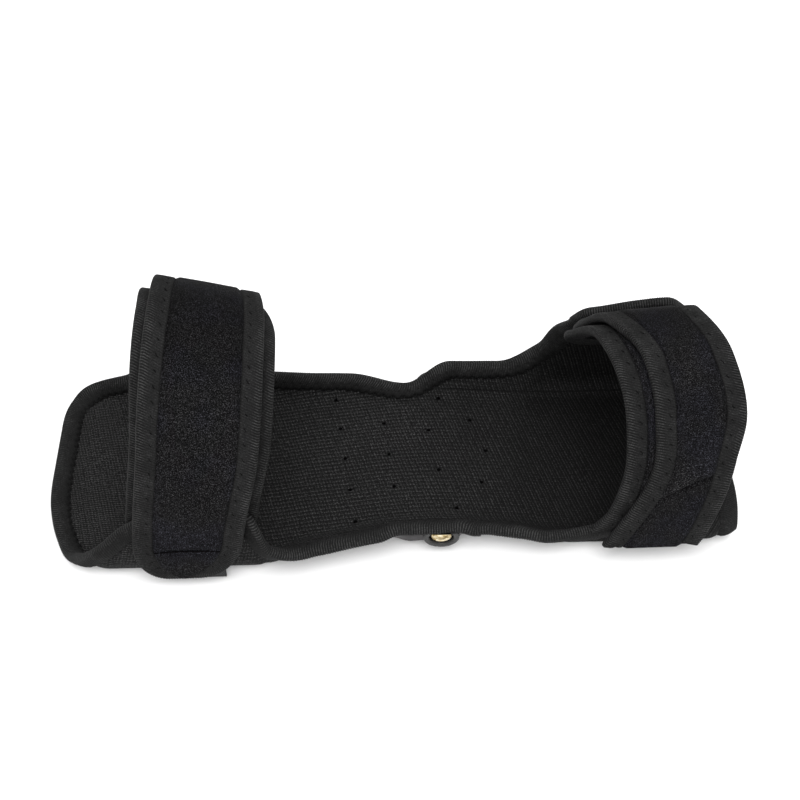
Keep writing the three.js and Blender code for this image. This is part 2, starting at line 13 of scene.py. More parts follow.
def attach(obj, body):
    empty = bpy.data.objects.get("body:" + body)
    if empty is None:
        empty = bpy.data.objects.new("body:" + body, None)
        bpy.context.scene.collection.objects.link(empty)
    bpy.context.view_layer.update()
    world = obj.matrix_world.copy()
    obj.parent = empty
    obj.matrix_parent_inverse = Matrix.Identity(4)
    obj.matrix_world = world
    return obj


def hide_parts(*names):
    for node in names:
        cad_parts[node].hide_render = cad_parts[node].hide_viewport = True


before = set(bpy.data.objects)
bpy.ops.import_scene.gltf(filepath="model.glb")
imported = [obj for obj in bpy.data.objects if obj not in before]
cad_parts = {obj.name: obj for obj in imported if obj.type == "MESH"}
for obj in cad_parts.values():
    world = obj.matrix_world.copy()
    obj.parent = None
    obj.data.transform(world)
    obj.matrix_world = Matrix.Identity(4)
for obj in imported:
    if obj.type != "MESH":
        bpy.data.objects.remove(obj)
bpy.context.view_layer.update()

# A millimetre in metres, a full turn, the step that slopes are measured by, and the least curl of a wing
MM = 0.001
TURN = 2 * np.pi
SMALL_STEP = 0.05
LEAST_CURL = 1e-6

# Seeds of the uneven waves and of the stitches' small errors
SEEDS = dict(pad=3, tape=11, zigzag=12, strap=20, next_strap=10, ticks=5)

# Liner panel: ends, half thicknesses, bend, and rounded corners with the straight share of each end
X_LEFT = -169.5
X_RIGHT = 171.0
PANEL_HALF = 2.5
RIM_HALF = 1.2
LIP_HALF = 1.25
BEND_RADIUS = 12.0
LEFT_CORNER = 28.0
RIGHT_CORNER = 20.0
CORNER_POWER = 2.5
NEAR_STRAIGHT = dict(left=0.08, right=0.28)
FAR_STRAIGHT = dict(left=0.5, right=0.62)

# Padding: grid, swelling from under the tape's lip, and a slight sag
PAD_GRID = (300, 123)
RIM_STEP = 0.2
PAD_UNDER_LIP = 0.5
PAD_SWELL = 5.0
PAD_SAG = 0.25
PAD_SAG_RISE = 10.0
PAD_WAVES = (90, 61, 43, 34)

# Edge tape: flat width, reach of its lips, nose round the rim, and the slot that it leaves for the cloth
TAPE_LIP = 8.0
TAPE_NOSE = 1.3
TAPE_FOLD = 10.0
TAPE_GAP = 0.35
TAPE_ROLL = 1.1
LIP_SHARE = 0.15
UPPER_POINTS = 13
LOWER_POINTS = 6
NOSE_ANGLES = (60, 25, 0, -25, -60)
PANEL_TAPE_SIZE = dict(slot_lip=LIP_HALF + 0.3, slot_rim=RIM_HALF + 0.3, wall=0.75, bulge=0.85)
PANEL_EDGE_POINTS = 1600
PANEL_END_POINTS = 240

# Running means along a tape: its rim in mm, and its lip as a multiple of that
RIM_SPREAD = 1.2
LIP_SPREAD = 2.2

# Ribs, uneven lips and scallops of the tapes
RIB_PITCH = 1.25
RIB_SAMPLES = 4
RIB_SLANT = 0.34
RIB_HEIGHT = 0.15
UNEVEN_WAVES = (31, 19, 12.5)
UNEVEN_HEIGHT = 0.12
UNEVEN_REACH = 0.18
UNEVEN_FROM = 0.5
SCALLOP_REACH = 0.45
SCALLOP_DEPTH = 3.0

# Zigzag of the panel's tape: pitch, inner points as a share of the lip, and levels of its two ends
STITCH_PITCH = 4.4
STITCH_INNER = 0.5
STITCH_OVER = 0.2
STITCH_ERROR = 0.15
ZIGZAG_LEVELS = (2.9, 1.7)
ZIGZAG_THREAD = dict(radius=0.16, bow=0.1)

# Ticks of the straps' tapes: pitch, slant along the edge, and ends and pits as shares of the lip
TICK_PITCH = 7.0
TICK_SLANT = 1.4
TICK_ERROR = 0.2
TICK_ENDS = (0.56, 0.7)
TICK_PITS = (0.55, 0.7)
TICK_LEVEL = 1.95
TICK_THREAD = dict(radius=0.2, bow=0.15)

# Pits that the needle leaves, and the threads' sections
PIT_SIZE = 0.5
PIT_DEPTH = 0.6
LIP_PIT = 1.2
THREAD_SIDES = 6
THREAD_TAPER = (0.45, 0.9, 1.0, 0.9, 0.45)
THREAD_SINK = 0.12

# Straps: cloth, tape, tongue, and the pile that stands up inside the tape
STRAP_HALF = 1.2
STRAP_LIP = 8.5
STRAP_TAPE_SIZE = dict(slot_lip=STRAP_HALF + 0.15, slot_rim=STRAP_HALF + 0.2, wall=0.7, bulge=0.15)
STRAP_ROWS = 220
STRAP_COLUMNS = 61
STRAP_EDGE_POINTS = 1500
TONGUE_ROWS = 28
TONGUE_STRAIGHT = 0.3
PLUSH_SUNK = 0.35
PLUSH_PILE = 1.9
PLUSH_RISE = 2.0
PLUSH_SAG = 0.22
PLUSH_WAVES = (46, 33, 21)

# Cross seam of the thigh strap's tongue
TONGUE_SEAM = 14.0
SEAM_GROOVE = 1.3
SEAM_WIDTH = 1.0
SEAM_HALF = 15.5
SEAM_BOW = 0.004
SEAM_POINTS = 14
SEAM_LEVEL = 0.9
SEAM_THREAD = dict(radius=0.4, bow=0.1)

# Crease of the calf strap: a bowed line, the groove before it and the swelling past it
CALF_CREASE = dict(top=42.5, right=17.5, bow=0.0145)
CREASE_RISE = (-0.6, 2.0)
CREASE_SWELL = 3.0
CREASE_FADE = 9.0
CREASE_GROOVE = 1.5
CREASE_FOLD = -1.4
CREASE_WIDTH = 1.3

# Hook tab: layers of its two faces, sides from the strap's middle, ends along the oval, and cut corner
TAB = dict(inner=3.2, outer=4.3, left=-14, right=19, top=22, foot=-11, cut=9)
TAB_POINTS = 40

# Hinge arms
HINGE_X = 25.6
ARM_HEIGHT = 11.0
ARM_THICK = 1.6
ARM_GAP = 0.9
ARM_TOP_FROM_RIM = 0.5
ARM_TOP_LIMIT = 17.0
ARM_JOINT_GAP = 0.4
THIGH_ARM_END = -4.0
CALF_ARM_END = 46.0
ARM_BEVEL = 0.35
ARM_POINTS = 90
ARM_TIP = 0.004
ARM_LEAST_HALF = 0.02
ARM_PLAN_PITCH = 3.0

# Round housing, sides of the turned pieces, and the merging distance in metres
RING_BORE = 6.0
RING_RADIUS = 8.8
RING_DEPTH = 2.5
RING_BEVEL = 0.8
BEVEL_POINTS = 5
ROUND_SIDES = 64
WELD = 1e-7


def table(columns, rows):
    """One list for each named column of a short table."""
    return {name: [row[k] for row in rows] for k, name in enumerate(columns.split())}


# Floor of the trough: its middle, its height above the ground and half the width of its flat
FLOOR = table("x middle lift flat", [
    (-168, 8.0, 3.6, 44),
    (-152, 5.6, 0.0, 47),
    (-134, 3.2, 0.0, 48),
    (-66, 3.0, 0.0, 48),
    (-34, 4.0, 3.5, 42),
    (17, 6.0, 7.0, 37),
    (62, 6.3, 3.5, 39),
    (92, 6.5, 0.0, 43),
    (156, 6.5, 0.0, 43),
    (171, 6.5, 3.6, 41),
])

# Sides of the trough: degrees they bend up, reach past the flat, and curl of the wings in 1/mm
NEAR_SIDE = table("x bend reach curl", [
    (-168, 30, 8.5, 0),
    (-156, 44, 13, 0),
    (-146, 64, 21, 0.001),
    (-136, 80, 30, 0.003),
    (-124, 90, 40, 0.00576),
    (-112, 90, 46, 0.00576),
    (-68, 90, 46, 0.00576),
    (-57, 62, 30, 0.002),
    (-38, 44, 24, 0),
    (-6, 44, 22, 0),
    (12, 82, 17.5, 0),
    (30, 82, 18, 0),
    (42, 46, 20, 0),
    (72, 42, 25, 0),
    (96, 72, 22, 0.003),
    (108, 88, 26, 0.00882),
    (122, 90, 46, 0.00882),
    (132, 90, 53, 0.00882),
    (154, 90, 64, 0.00882),
    (171, 90, 44, 0.00882),
])
FAR_SIDE = table("x bend reach curl", [
    (-168, 46, 17, 0),
    (-152, 54, 17.5, 0),
    (-137, 68, 21, 0.002),
    (-124, 90, 45, 0.00576),
    (-98, 90, 50, 0.00576),
    (-78, 90, 44, 0.00576),
    (-62, 72, 21, 0.002),
    (-18, 66, 19.5, 0),
    (12, 58, 13, 0),
    (36, 66, 25, 0),
    (62, 64, 25, 0),
    (84, 74, 36, 0.004),
    (96, 90, 67, 0.00882),
    (104, 90, 82, 0.00882),
    (142, 90, 90, 0.0078),
    (154, 90, 76, 0.0078),
    (171, 84, 50, 0.0078),
])

# Soft rim on the near side: how far its tape lies out over the hinge
FLARE = table("x out", [
    (-62, 0),
    (-44, 3),
    (-8, 3.6),
    (8, 6),
    (22, 6.4),
    (32, 5.4),
    (40, 3.4),
    (50, 0.5),
    (58, 0),
])
FLARE_DEPTH = 9.0
FLARE_POWER = 1.4

# Cuffs: the oval that wings and straps follow, and the place along X about which its straps lean
CUFFS = {
    "thigh": dict(middle=3.0, half=60, rise=108, turn=30, pivot=-84),
    "calf": dict(middle=6.5, half=55, rise=83, turn=35, pivot=132),
}

# Lean of a cuff's straps, as rise for each mm along X, at lengths from the oval's near foot
LEANS = {
    "thigh": table("along lean", [
        (30, 0),
        (132, -0.32),
        (170, -0.26),
        (236.6, 0),
    ]),
    "calf": table("along lean", [
        (47, 0),
        (90, 0.08),
        (116, 0.1),
        (145.4, 0.04),
        (167, 0),
    ]),
}

# Straps: middle along X, width, and layer outside the wing's middle, at lengths from the oval's near foot
RUN = "along middle width layer"
STRAPS = {
    "thigh_under": dict(cuff="thigh", tongue="far", depth=18, run=table(RUN, [
        (8, -95.5, 60, -6.6),
        (30, -92, 60.5, -6.6),
        (70, -85.4, 61.5, -7.6),
        (132, -82, 59.5, -9.1),
        (170, -86, 55, -10.2),
        (236.6, -87.5, 56, -11.6),
        (244.6, -88, 56, -11.6),
    ])),
    "thigh_over": dict(cuff="thigh", tongue="near", depth=22, run=table(RUN, [
        (-5, -98, 47, 7),
        (30, -92.6, 50, 7),
        (65, -86.2, 52, 5.4),
        (132, -80.8, 48.5, 0.2),
        (170, -83.5, 46, -3.2),
        (236.6, -86, 47, -6.6),
        (256.6, -87, 47, -6.6),
    ])),
    "calf_under": dict(cuff="calf", tongue="far", depth=16, run=table(RUN, [
        (8, 120, 44, 5.6),
        (19, 127.6, 43, 5.6),
        (47, 133.4, 42, 5.6),
        (66, 132.8, 42, 5),
        (110, 123, 42, -1.8),
        (145.4, 114.5, 44, -12),
        (167, 112, 44, -12),
    ])),
    "calf_over": dict(cuff="calf", tongue="none", depth=0, run=table(RUN, [
        (3, 125.5, 44, 10.9),
        (10, 129, 43, 10.9),
        (47, 142.2, 35.5, 10.9),
        (66, 144, 39.5, 10.3),
        (90, 139.4, 38.5, 7.9),
        (116, 128.4, 42, 2.6),
        (145.4, 124, 49, -6.6),
        (163, 122, 49, -6.6),
    ])),
}

# Breather holes: columns as (x, slant, first, pitch, count) of distances across, and one curved row
HOLE_COLUMNS = [(-20.5, -0.11, -39, 21.3, 5), (2, -0.09, -19, 22, 3), (25.5, -0.14, -9, 27.5, 2)]
HOLE_ARC = dict(x=6, across=2, radius=46, first=-52, pitch=28, count=5)
HOLE_RADIUS = 1.0
PINCH_WIDTH = 2.2
PINCH_TOP = 0.8
PINCH_BOTTOM = 0.3

# Holes past this distance across, on the far slope, run through at a slant along the leg
HOLE_STEEP = 25.0
HOLE_SLANT = 2.4

# Levels at which the turned pieces end: the near ones go in under the tape, the far ones stay whole
NEAR_HOUSING_TOP = 18.8
FREE_TOP = 200.0

# Rivet head as (radius, depth): a dished ring round a domed eye
RIVET_PROFILE = [
    (0, 0), (5.2, 0), (5.2, 0.8), (5.05, 1.25), (4.6, 1.6), (3.9, 1.7),
    (3.4, 1.5), (3.0, 1.45), (2.6, 1.6), (2.1, 1.85), (1.4, 2.0), (0, 2.0),
]

# Hinges as (label, side of the knee, drop of the round housing from the arms' upper edge, its clearance)
HINGES = [("near", -1, 3.8, 0.6), ("far", 1, 8, 0.9)]


# Numbers

def smooth(rows, column, x, key="x"):
    """Shape-keeping cubic through a table's rows: harmonic mean slopes, flat at a peak or a dip."""
    knots = np.asarray(rows[key], float)
    values = np.asarray(rows[column], float)
    run = np.diff(knots)
    slope = np.diff(values) / run
    tangent = np.empty_like(values)
    tangent[0], tangent[-1] = slope[0], slope[-1]
    before, after = slope[:-1], slope[1:]
    same = before * after > 0
    total = np.where(same, before + after, 1.0)
    tangent[1:-1] = np.where(same, 2 * before * after / total, 0.0)
    at = np.clip(x, knots[0], knots[-1])
    i = np.clip(np.searchsorted(knots, at) - 1, 0, len(run) - 1)
    t = (at - knots[i]) / run[i]
    start = (1 + 2 * t) * (1 - t) ** 2 * values[i] + t * (1 - t) ** 2 * run[i] * tangent[i]
    end = t * t * (3 - 2 * t) * values[i + 1] + t * t * (t - 1) * run[i] * tangent[i + 1]
    return start + end


def step(low, high, x):
    """Smooth rise from 0 at low to 1 at high."""
    t = np.clip((np.asarray(x, float) - low) / (high - low), 0, 1)
    return t * t * (3 - 2 * t)


def hump(x, centre, width):
    """Bell of height 1."""
    return np.exp(-((x - centre) / width) ** 2)


def ripple(seed, *lengths):
    """Smooth uneven wave of one or two coordinates: sines of the given wavelengths in seeded directions."""
    draw = np.random.default_rng(seed)
    terms = [(TURN / length, draw.uniform(0, TURN), draw.uniform(0, TURN)) for length in lengths]

    def wave(a, b=0.0):
        total = sum(np.sin(k * (a * np.cos(way) + b * np.sin(way)) + phase) for k, way, phase in terms)
        return total / len(terms)
    return wave


def soften(values, width, closed):
    """Gaussian running mean along the first axis, width in samples."""
    reach = int(3 * width) + 1
    weights = np.exp(-0.5 * (np.arange(-reach, reach + 1) / width) ** 2)
    weights /= weights.sum()
    pad = "wrap" if closed else "edge"
    columns = values.reshape(len(values), -1)
    wide = np.pad(columns, ((reach, reach), (0, 0)), mode=pad)
    mixed = [np.convolve(column, weights, mode="valid") for column in wide.T]
    return np.stack(mixed, axis=1).reshape(values.shape)


# Surfaces

def wall_surface(x, across):
    """Middle of the panel's wall: flat, then an arc of the bend radius, then a straight or curled wing."""
    x, across = np.broadcast_arrays(np.asarray(x, float), np.asarray(across, float))
    near = across < 0
    distance = np.abs(across)
    pick = lambda column: np.where(near, smooth(NEAR_SIDE, column, x), smooth(FAR_SIDE, column, x))
    flat = smooth(FLOOR, "flat", x)
    bend = np.radians(pick("bend"))
    curl = np.maximum(pick("curl"), LEAST_CURL)
    turn = np.clip((distance - flat) / BEND_RADIUS, 0, bend)
    rest = np.maximum(distance - flat - BEND_RADIUS * bend, 0)
    lean = bend + rest * curl
    out = np.minimum(distance, flat) + BEND_RADIUS * np.sin(turn) + (np.sin(lean) - np.sin(bend)) / curl
    up = BEND_RADIUS * (1 - np.cos(turn)) + (np.cos(bend) - np.cos(lean)) / curl
    y = smooth(FLOOR, "middle", x) + np.sign(across) * out
    return np.stack([x, y, smooth(FLOOR, "lift", x) + PANEL_HALF + up], axis=-1)


def panel_surface(x, across):
    """The wall with its soft near rim laid out over the hinge: a power of the depth from the flare's line."""
    points = wall_surface(x, across)
    x, across = np.broadcast_arrays(np.asarray(x, float), np.asarray(across, float))
    rim = smooth(FLOOR, "flat", x) + smooth(NEAR_SIDE, "reach", x)
    depth = np.maximum(-across - rim + FLARE_DEPTH, 0) / FLARE_DEPTH
    points[..., 1] -= smooth(FLARE, "out", x) * depth ** FLARE_POWER
    return points


def normals(surface, a, b):
    """Unit normals by small steps to either side."""
    along_a = surface(a + SMALL_STEP, b) - surface(a - SMALL_STEP, b)
    along_b = surface(a, b + SMALL_STEP) - surface(a, b - SMALL_STEP)
    n = np.cross(along_a, along_b)
    return n / np.linalg.norm(n, axis=-1, keepdims=True)


def lifted(surface, a, b, height):
    """Points of a surface of two lengths, moved along its normals by a height."""
    return surface(a, b) + normals(surface, a, b) * np.asarray(height)[..., None]


def oval(cuff):
    """Points of a cuff's oval at a length and a layer: side arcs and a crown arc that meet smoothly."""
    turn = np.radians(cuff["turn"])
    spread = (cuff["rise"] - cuff["half"]) / (np.cos(turn) + np.sin(turn) - 1)
    side = cuff["half"] + spread * np.cos(turn)
    crown = cuff["rise"] - spread * np.sin(turn)
    foot = PANEL_HALF + BEND_RADIUS
    side_length = side * turn
    length = 2 * side_length + crown * (np.pi - 2 * turn)
    middle, half = cuff["middle"], cuff["half"]

    def point(along, layer):
        on_near = along / side
        on_crown = turn + (along - side_length) / crown
        on_far = np.pi - (length - along) / side
        before = along < side_length
        after = along > length - side_length
        angle = np.where(before, on_near, np.where(after, on_far, on_crown))
        angle = np.clip(angle, 0, np.pi)
        radius = np.where(before | after, side, crown) + layer
        centre_y = np.where(before, middle - half + side, np.where(after, middle + half - side, middle))
        centre_z = np.where(before | after, foot, foot + spread * np.sin(turn))
        drop = np.minimum(along, 0) + np.minimum(length - along, 0)
        return centre_y - radius * np.cos(angle), centre_z + radius * np.sin(angle) + drop
    return point


def strap_surface(strap):
    """Middle of a strap as a function of (across, along): it follows the oval and leans along the leg."""
    cuff = CUFFS[strap["cuff"]]
    lean = LEANS[strap["cuff"]]
    point = oval(cuff)
    run = strap["run"]

    def surface(across, along):
        across, along = np.broadcast_arrays(np.asarray(across, float), np.asarray(along, float))
        y, z = point(along, smooth(run, "layer", along, key="along"))
        x = smooth(run, "middle", along, key="along") + across
        return np.stack([x, y, z + smooth(lean, "lean", along, key="along") * (x - cuff["pivot"])], axis=-1)
    return surface


def strap_ends(strap):
    """Lengths along the oval at which a strap starts and ends."""
    return strap["run"]["along"][0], strap["run"]["along"][-1]


def strap_half(strap, along):
    """Half width of a strap, narrowing to a round tongue at one end."""
    start, end = strap_ends(strap)
    half = smooth(strap["run"], "width", along, key="along") / 2
    if strap["tongue"] == "none":
        return half
    left = along - start if strap["tongue"] == "near" else end - along
    reach = np.clip(left / strap["depth"], 0, 1)
    rounded = np.sqrt(np.maximum(1 - (1 - reach) ** 2, 0))
    return half * (TONGUE_STRAIGHT + (1 - TONGUE_STRAIGHT) * rounded)


# Meshes

def in_scene(name, data):
    """New object for a mesh, a light or a camera, linked to the scene."""
    obj = bpy.data.objects.new(name, data)
    bpy.context.scene.collection.objects.link(obj)
    return obj


def make_piece(name, points, faces, uv, material):
    """Mesh object from arrays: points in mm, four-cornered faces, and a UV in mm for each face corner."""
    mesh = bpy.data.meshes.new(name)
    mesh.from_pydata((points.reshape(-1, 3) * MM).tolist(), [], faces.tolist())
    layer = mesh.uv_layers.new(name="cloth")
    layer.data.foreach_set("uv", np.asarray(uv, np.float32).reshape(-1))
    mesh.polygons.foreach_set("use_smooth", np.ones(len(mesh.polygons), bool))
    mesh.materials.append(material)
    mesh.update()
    return in_scene(name, mesh)


def grid_faces(rows, columns, wrap_rows=False, wrap_columns=False):
    """Corners (row, column) of each face of a grid, not yet wrapped, in turning order."""
    down = np.arange(rows - (not wrap_rows))
    over = np.arange(columns - (not wrap_columns))
    i, j = (index.ravel() for index in np.meshgrid(down, over, indexing="ij"))
    corners = [(i, j), (i + 1, j), (i + 1, j + 1), (i, j + 1)]
    return np.stack([np.stack(corner, 1) for corner in corners], 1)


def swept(name, points, u, v, material, wrap_rows):
    """Closed skin from a grid whose columns run round a section: rows wrap into a ring or get end caps."""
    rows, columns = points.shape[:2]
    corner = grid_faces(rows, columns, wrap_rows, True)
    faces = (corner[..., 0] % rows) * columns + corner[..., 1] % columns
    uv = np.stack([u[corner[..., 0]], v[corner[..., 1]]], -1)
    if not wrap_rows:
        half = columns // 2
        k = np.arange(half - 1)
        cap = np.stack([k, k + 1, columns - 2 - k, columns - 1 - k], 1)
        last = (rows - 1) * columns
        faces = np.concatenate([faces, cap, cap[:, ::-1] + last])
        flat = np.stack([np.zeros(cap.shape), v[cap]], -1)
        uv = np.concatenate([uv, flat, flat[:, ::-1]])
    return make_piece(name, points, faces, uv, material)


def slab(name, top, bottom, uv, material, holes=()):
    """Closed cloth from two grids of the same shape, joined round the edge and through the holes."""
    rows, columns = top.shape[:2]
    count = rows * columns
    corner = grid_faces(rows, columns)
    sheet = corner[..., 0] * columns + corner[..., 1]
    ring_steps = np.array([(-1, -1), (0, -1), (1, -1), (1, 0), (1, 1), (0, 1), (-1, 1), (-1, 0)])
    walls = []
    for i, j in holes:
        sheet = sheet[~(sheet == i * columns + j).any(axis=1)]
        ring = (i + ring_steps[:, 0]) * columns + j + ring_steps[:, 1]
        walls.append(np.stack([ring, np.roll(ring, -1), np.roll(ring, -1) + count, ring + count], 1))
    grid = np.arange(count).reshape(rows, columns)
    loop = np.concatenate([grid[:-1, 0], grid[-1, :-1], grid[:0:-1, -1], grid[0, :0:-1]])
    walls.append(np.stack([np.roll(loop, -1), loop, loop + count, np.roll(loop, -1) + count], 1))
    faces = np.concatenate([sheet, sheet[:, ::-1] + count, *walls])
    points = np.concatenate([top.reshape(-1, 3), bottom.reshape(-1, 3)])
    plan = np.concatenate([uv.reshape(-1, 2), uv.reshape(-1, 2)])
    used, place = np.unique(faces, return_inverse=True)
    obj = make_piece(name, points[used], place.reshape(faces.shape), plan[faces], material)
    # Hole walls take the near-black material: painted shade in the depth of the holes.
    if holes:
        finish = np.zeros(len(faces), np.int32)
        finish[2 * len(sheet):2 * len(sheet) + len(ring_steps) * len(holes)] = 1
        obj.data.materials.append(SHADE_BLACK)
        obj.data.polygons.foreach_set("material_index", finish)
    return obj


# Materials

# Knit: rows and slanting wales for each mm, and the places between which its pattern changes and, towards the
# calf, a painted shade darkens it
ROWS_PER_MM = 0.41
WALES_PER_MM = 0.311
WALE_SLANT = 0.0867
WALE_POWER = 7.0
TOWARDS_CALF = (-20, 110)
TOWARDS_THIGH = (-95, -60)

# Sewn line of the knit: where it sets in, where it bends, its place across and its half width
KNIT_SEAM = dict(sets_in=(22, 36), bends=(60, 88), across=(48.4, 50.2), half=(0.25, 0.9), shade=0.2)

# Tape: distances from the fold over which its ribs fade
RIBS_FADE = (2.0, 5.0)

# Plush: lengths over which a painted shade darkens the crown, and the band above a crease that a painted
# highlight makes paler
CROWN_SHADE_SPAN = (80, 125)
CROWN_SHADE_LEVEL = 0.6
BAND_START = (-1.0, 1.5)
BAND_END = (5.0, 13.0)
HIGHLIGHT_GAIN = 0.5

# Hook tape
HOOK_PITCH = 1.2


class Recipe:
    """One material's nodes: short calls that add a node, set its values and return its output."""

    def __init__(self, name, color, roughness, **values):
        self.material = bpy.data.materials.new(name)
        self.material.use_nodes = True
        self.tree = self.material.node_tree
        self.shader = self.tree.nodes["Principled BSDF"]
        self.set(self.shader, {"Base Color": (*color, 1.0), "Roughness": roughness, **values})

    def set(self, node, values):
        """Links a node's input where the value is an output, and sets it otherwise."""
        for key, value in values.items():
            socket = node.inputs[key]
            if isinstance(value, bpy.types.NodeSocket):
                self.tree.links.new(value, socket)
            else:
                socket.default_value = value

    def add(self, kind, values=None, out=0, **attributes):
        """New node with its values, and the output that is asked for."""
        node = self.tree.nodes.new(kind)
        for key, value in attributes.items():
            setattr(node, key, value)
        self.set(node, values or {})
        return node.outputs[out]

    def math(self, operation, a, b=0.0, c=0.0):
        """Sum, product or the like of up to three values."""
        return self.add("ShaderNodeMath", {0: a, 1: b, 2: c}, operation=operation)

    def uv(self):
        """The piece's own flat pattern in mm, across and along."""
        cloth = self.add("ShaderNodeUVMap", uv_map="cloth")
        node = self.tree.nodes.new("ShaderNodeSeparateXYZ")
        self.set(node, {0: cloth})
        return node.outputs[0], node.outputs[1]

    def wave(self, phase):
        """Sine of a phase counted in turns, from 0 to 1."""
        return self.math("MULTIPLY_ADD", self.math("SINE", self.math("MULTIPLY", phase, TURN)), 0.5, 0.5)

    def rise(self, value, low, high, start=0.0, end=1.0):
        """Smooth change from start at low to end at high."""
        values = {"Value": value, "From Min": low, "From Max": high, "To Min": start, "To Max": end}
        return self.add("ShaderNodeMapRange", values, interpolation_type="SMOOTHSTEP")

    def noise(self, size_mm, detail):
        """Noise of the given grain, from 0 to 1, fixed to the piece by its Object coordinates."""
        place = self.add("ShaderNodeTexCoord", out="Object")
        values = {"Vector": place, "Scale": 1.0 / (size_mm * MM), "Detail": detail}
        return self.add("ShaderNodeTexNoise", values)

    def times(self, color, factor):
        """Colour times a number or another colour."""
        return self.add("ShaderNodeVectorMath", {0: color, 1: factor}, operation="MULTIPLY")

    def total(self, *terms):
        """Sum of (value, weight) pairs."""
        result = 0.0
        for value, weight in terms:
            result = self.math("MULTIPLY_ADD", value, weight, result)
        return result

    def ramp(self, factor, stops):
        """Colours between (place, colour) stops."""
        node = self.tree.nodes.new("ShaderNodeValToRGB")
        self.set(node, {0: factor})
        band = node.color_ramp
        while len(band.elements) < len(stops):
            band.elements.new(0.5)
        for element, (place, color) in zip(band.elements, stops):
            element.position = place
            element.color = (*color, 1.0)
        return node.outputs[0]

    def finish(self, color, bump, distance_mm, strength, roughness=None):
        """Links the colour, a bump of the given height, and the roughness where it varies."""
        values = {"Strength": strength, "Distance": distance_mm * MM, "Height": bump}
        self.set(self.shader, {"Base Color": color, "Normal": self.add("ShaderNodeBump", values)})
        if roughness is not None:
            self.set(self.shader, {"Roughness": roughness})
        return self.material


def grey(level, blue=0.0):
    """Near-neutral colour with a little blue."""
    return (level, level, level * (1 + blue))


def greys(*stops):
    """Stops of a ramp from (place, level) pairs."""
    return [(place, grey(level)) for place, level in stops]


def knit_mesh():
    """Black spacer knit: tiny loops in rows, dark slanting wales towards the calf, one sewn seam, and a
    painted shade that darkens it towards the calf.
    """
    r = Recipe("knit_mesh", grey(0.008), 0.75, **{"Specular IOR Level": 0.1})
    u, v = r.uv()
    slant = r.math("ADD", r.math("MULTIPLY", u, WALES_PER_MM), r.math("MULTIPLY", v, WALE_SLANT))
    row = r.wave(r.math("MULTIPLY", v, ROWS_PER_MM))
    fine_row = r.wave(r.math("MULTIPLY", v, 2 * ROWS_PER_MM))
    column = r.wave(r.math("MULTIPLY", slant, 2.0))
    wale = r.math("POWER", r.wave(slant), WALE_POWER)
    towards_calf = r.rise(u, *TOWARDS_CALF)
    towards_thigh = r.rise(u, *TOWARDS_THIGH, 1.0, 0.0)
    row_weight = r.total((towards_calf, -0.09), (towards_thigh, -0.1), (1.0, 0.12))
    row_share = r.math("MULTIPLY", row, row_weight)
    fine_share = r.math("MULTIPLY", fine_row, r.math("MULTIPLY_ADD", towards_thigh, 0.14, 0.07))
    column_share = r.math("MULTIPLY", column, r.math("MULTIPLY_ADD", towards_calf, 0.13, 0.09))
    wale_share = r.math("MULTIPLY", wale, r.math("MULTIPLY_ADD", towards_calf, -0.1, -0.04))
    yarn = r.noise(size_mm=0.42, detail=1.0)
    patch = r.noise(size_mm=30.0, detail=2.0)
    loops = r.total((row_share, 1.0), (fine_share, 1.0), (column_share, 1.0), (wale_share, 1.0))
    height = r.total((loops, 1.0), (yarn, 0.85))
    # Painted shade: towards the calf the tone is lowered here and the colour multiplied down below, the shade
    # inside the calf cuff.
    tone = r.total((height, 1.9), (patch, 0.12), (towards_calf, -0.06), (1.0, -0.59))
    color = r.ramp(tone, greys((0.38, 0.0008), (0.54, 0.0036), (0.68, 0.0084), (0.92, 0.045)))
    seam_at = r.rise(u, *KNIT_SEAM["bends"], *KNIT_SEAM["across"])
    from_seam = r.math("ABSOLUTE", r.math("SUBTRACT", v, seam_at))
    seam_gap = r.math("MULTIPLY_ADD", r.rise(u, *KNIT_SEAM["sets_in"]), -1.0, 1.0)
    seam = r.rise(r.math("ADD", from_seam, seam_gap), *KNIT_SEAM["half"], KNIT_SEAM["shade"], 1.0)
    # The seam's dark line, times the painted shade towards the calf.
    shade = r.math("MULTIPLY", seam, r.math("MULTIPLY_ADD", towards_calf, -0.45, 1.0))
    bump = r.total((height, 1.0), (seam, 0.5))
    return r.finish(r.times(color, shade), bump, distance_mm=0.5, strength=0.6)


def edge_tape(name, lip_reach, lip_shade):
    """Black knitted binding: ribs over the fold, and a flatter lip with a painted shade that darkens it
    towards its stitched edge.
    """
    r = Recipe(name, grey(0.01), 0.75, **{"Specular IOR Level": 0.12})
    u, v = r.uv()
    rib = r.wave(r.math("DIVIDE", u, RIB_PITCH))
    from_fold = r.math("ABSOLUTE", r.math("SUBTRACT", v, TAPE_FOLD))
    ribbed = r.rise(from_fold, *RIBS_FADE, 1.0, 0.2)
    fibre = r.noise(size_mm=0.6, detail=2.0)
    patch = r.noise(size_mm=9.0, detail=2.0)
    # Painted shade: the tape darkens towards its stitched lip, the shadow of the groove there.
    edge = r.rise(v, 0.0, lip_reach, lip_shade, 1.0)
    relief = r.math("MULTIPLY", r.math("SUBTRACT", rib, 0.5), ribbed)
    tone = r.total((relief, 0.5), (fibre, 0.8), (patch, 0.3))
    shade = r.ramp(tone, greys((0.32, 0.0009), (0.5, 0.0046), (0.66, 0.0098), (0.88, 0.036)))
    bump = r.total((relief, 0.6), (fibre, 0.5))
    return r.finish(r.times(shade, edge), bump, distance_mm=0.25, strength=0.6)


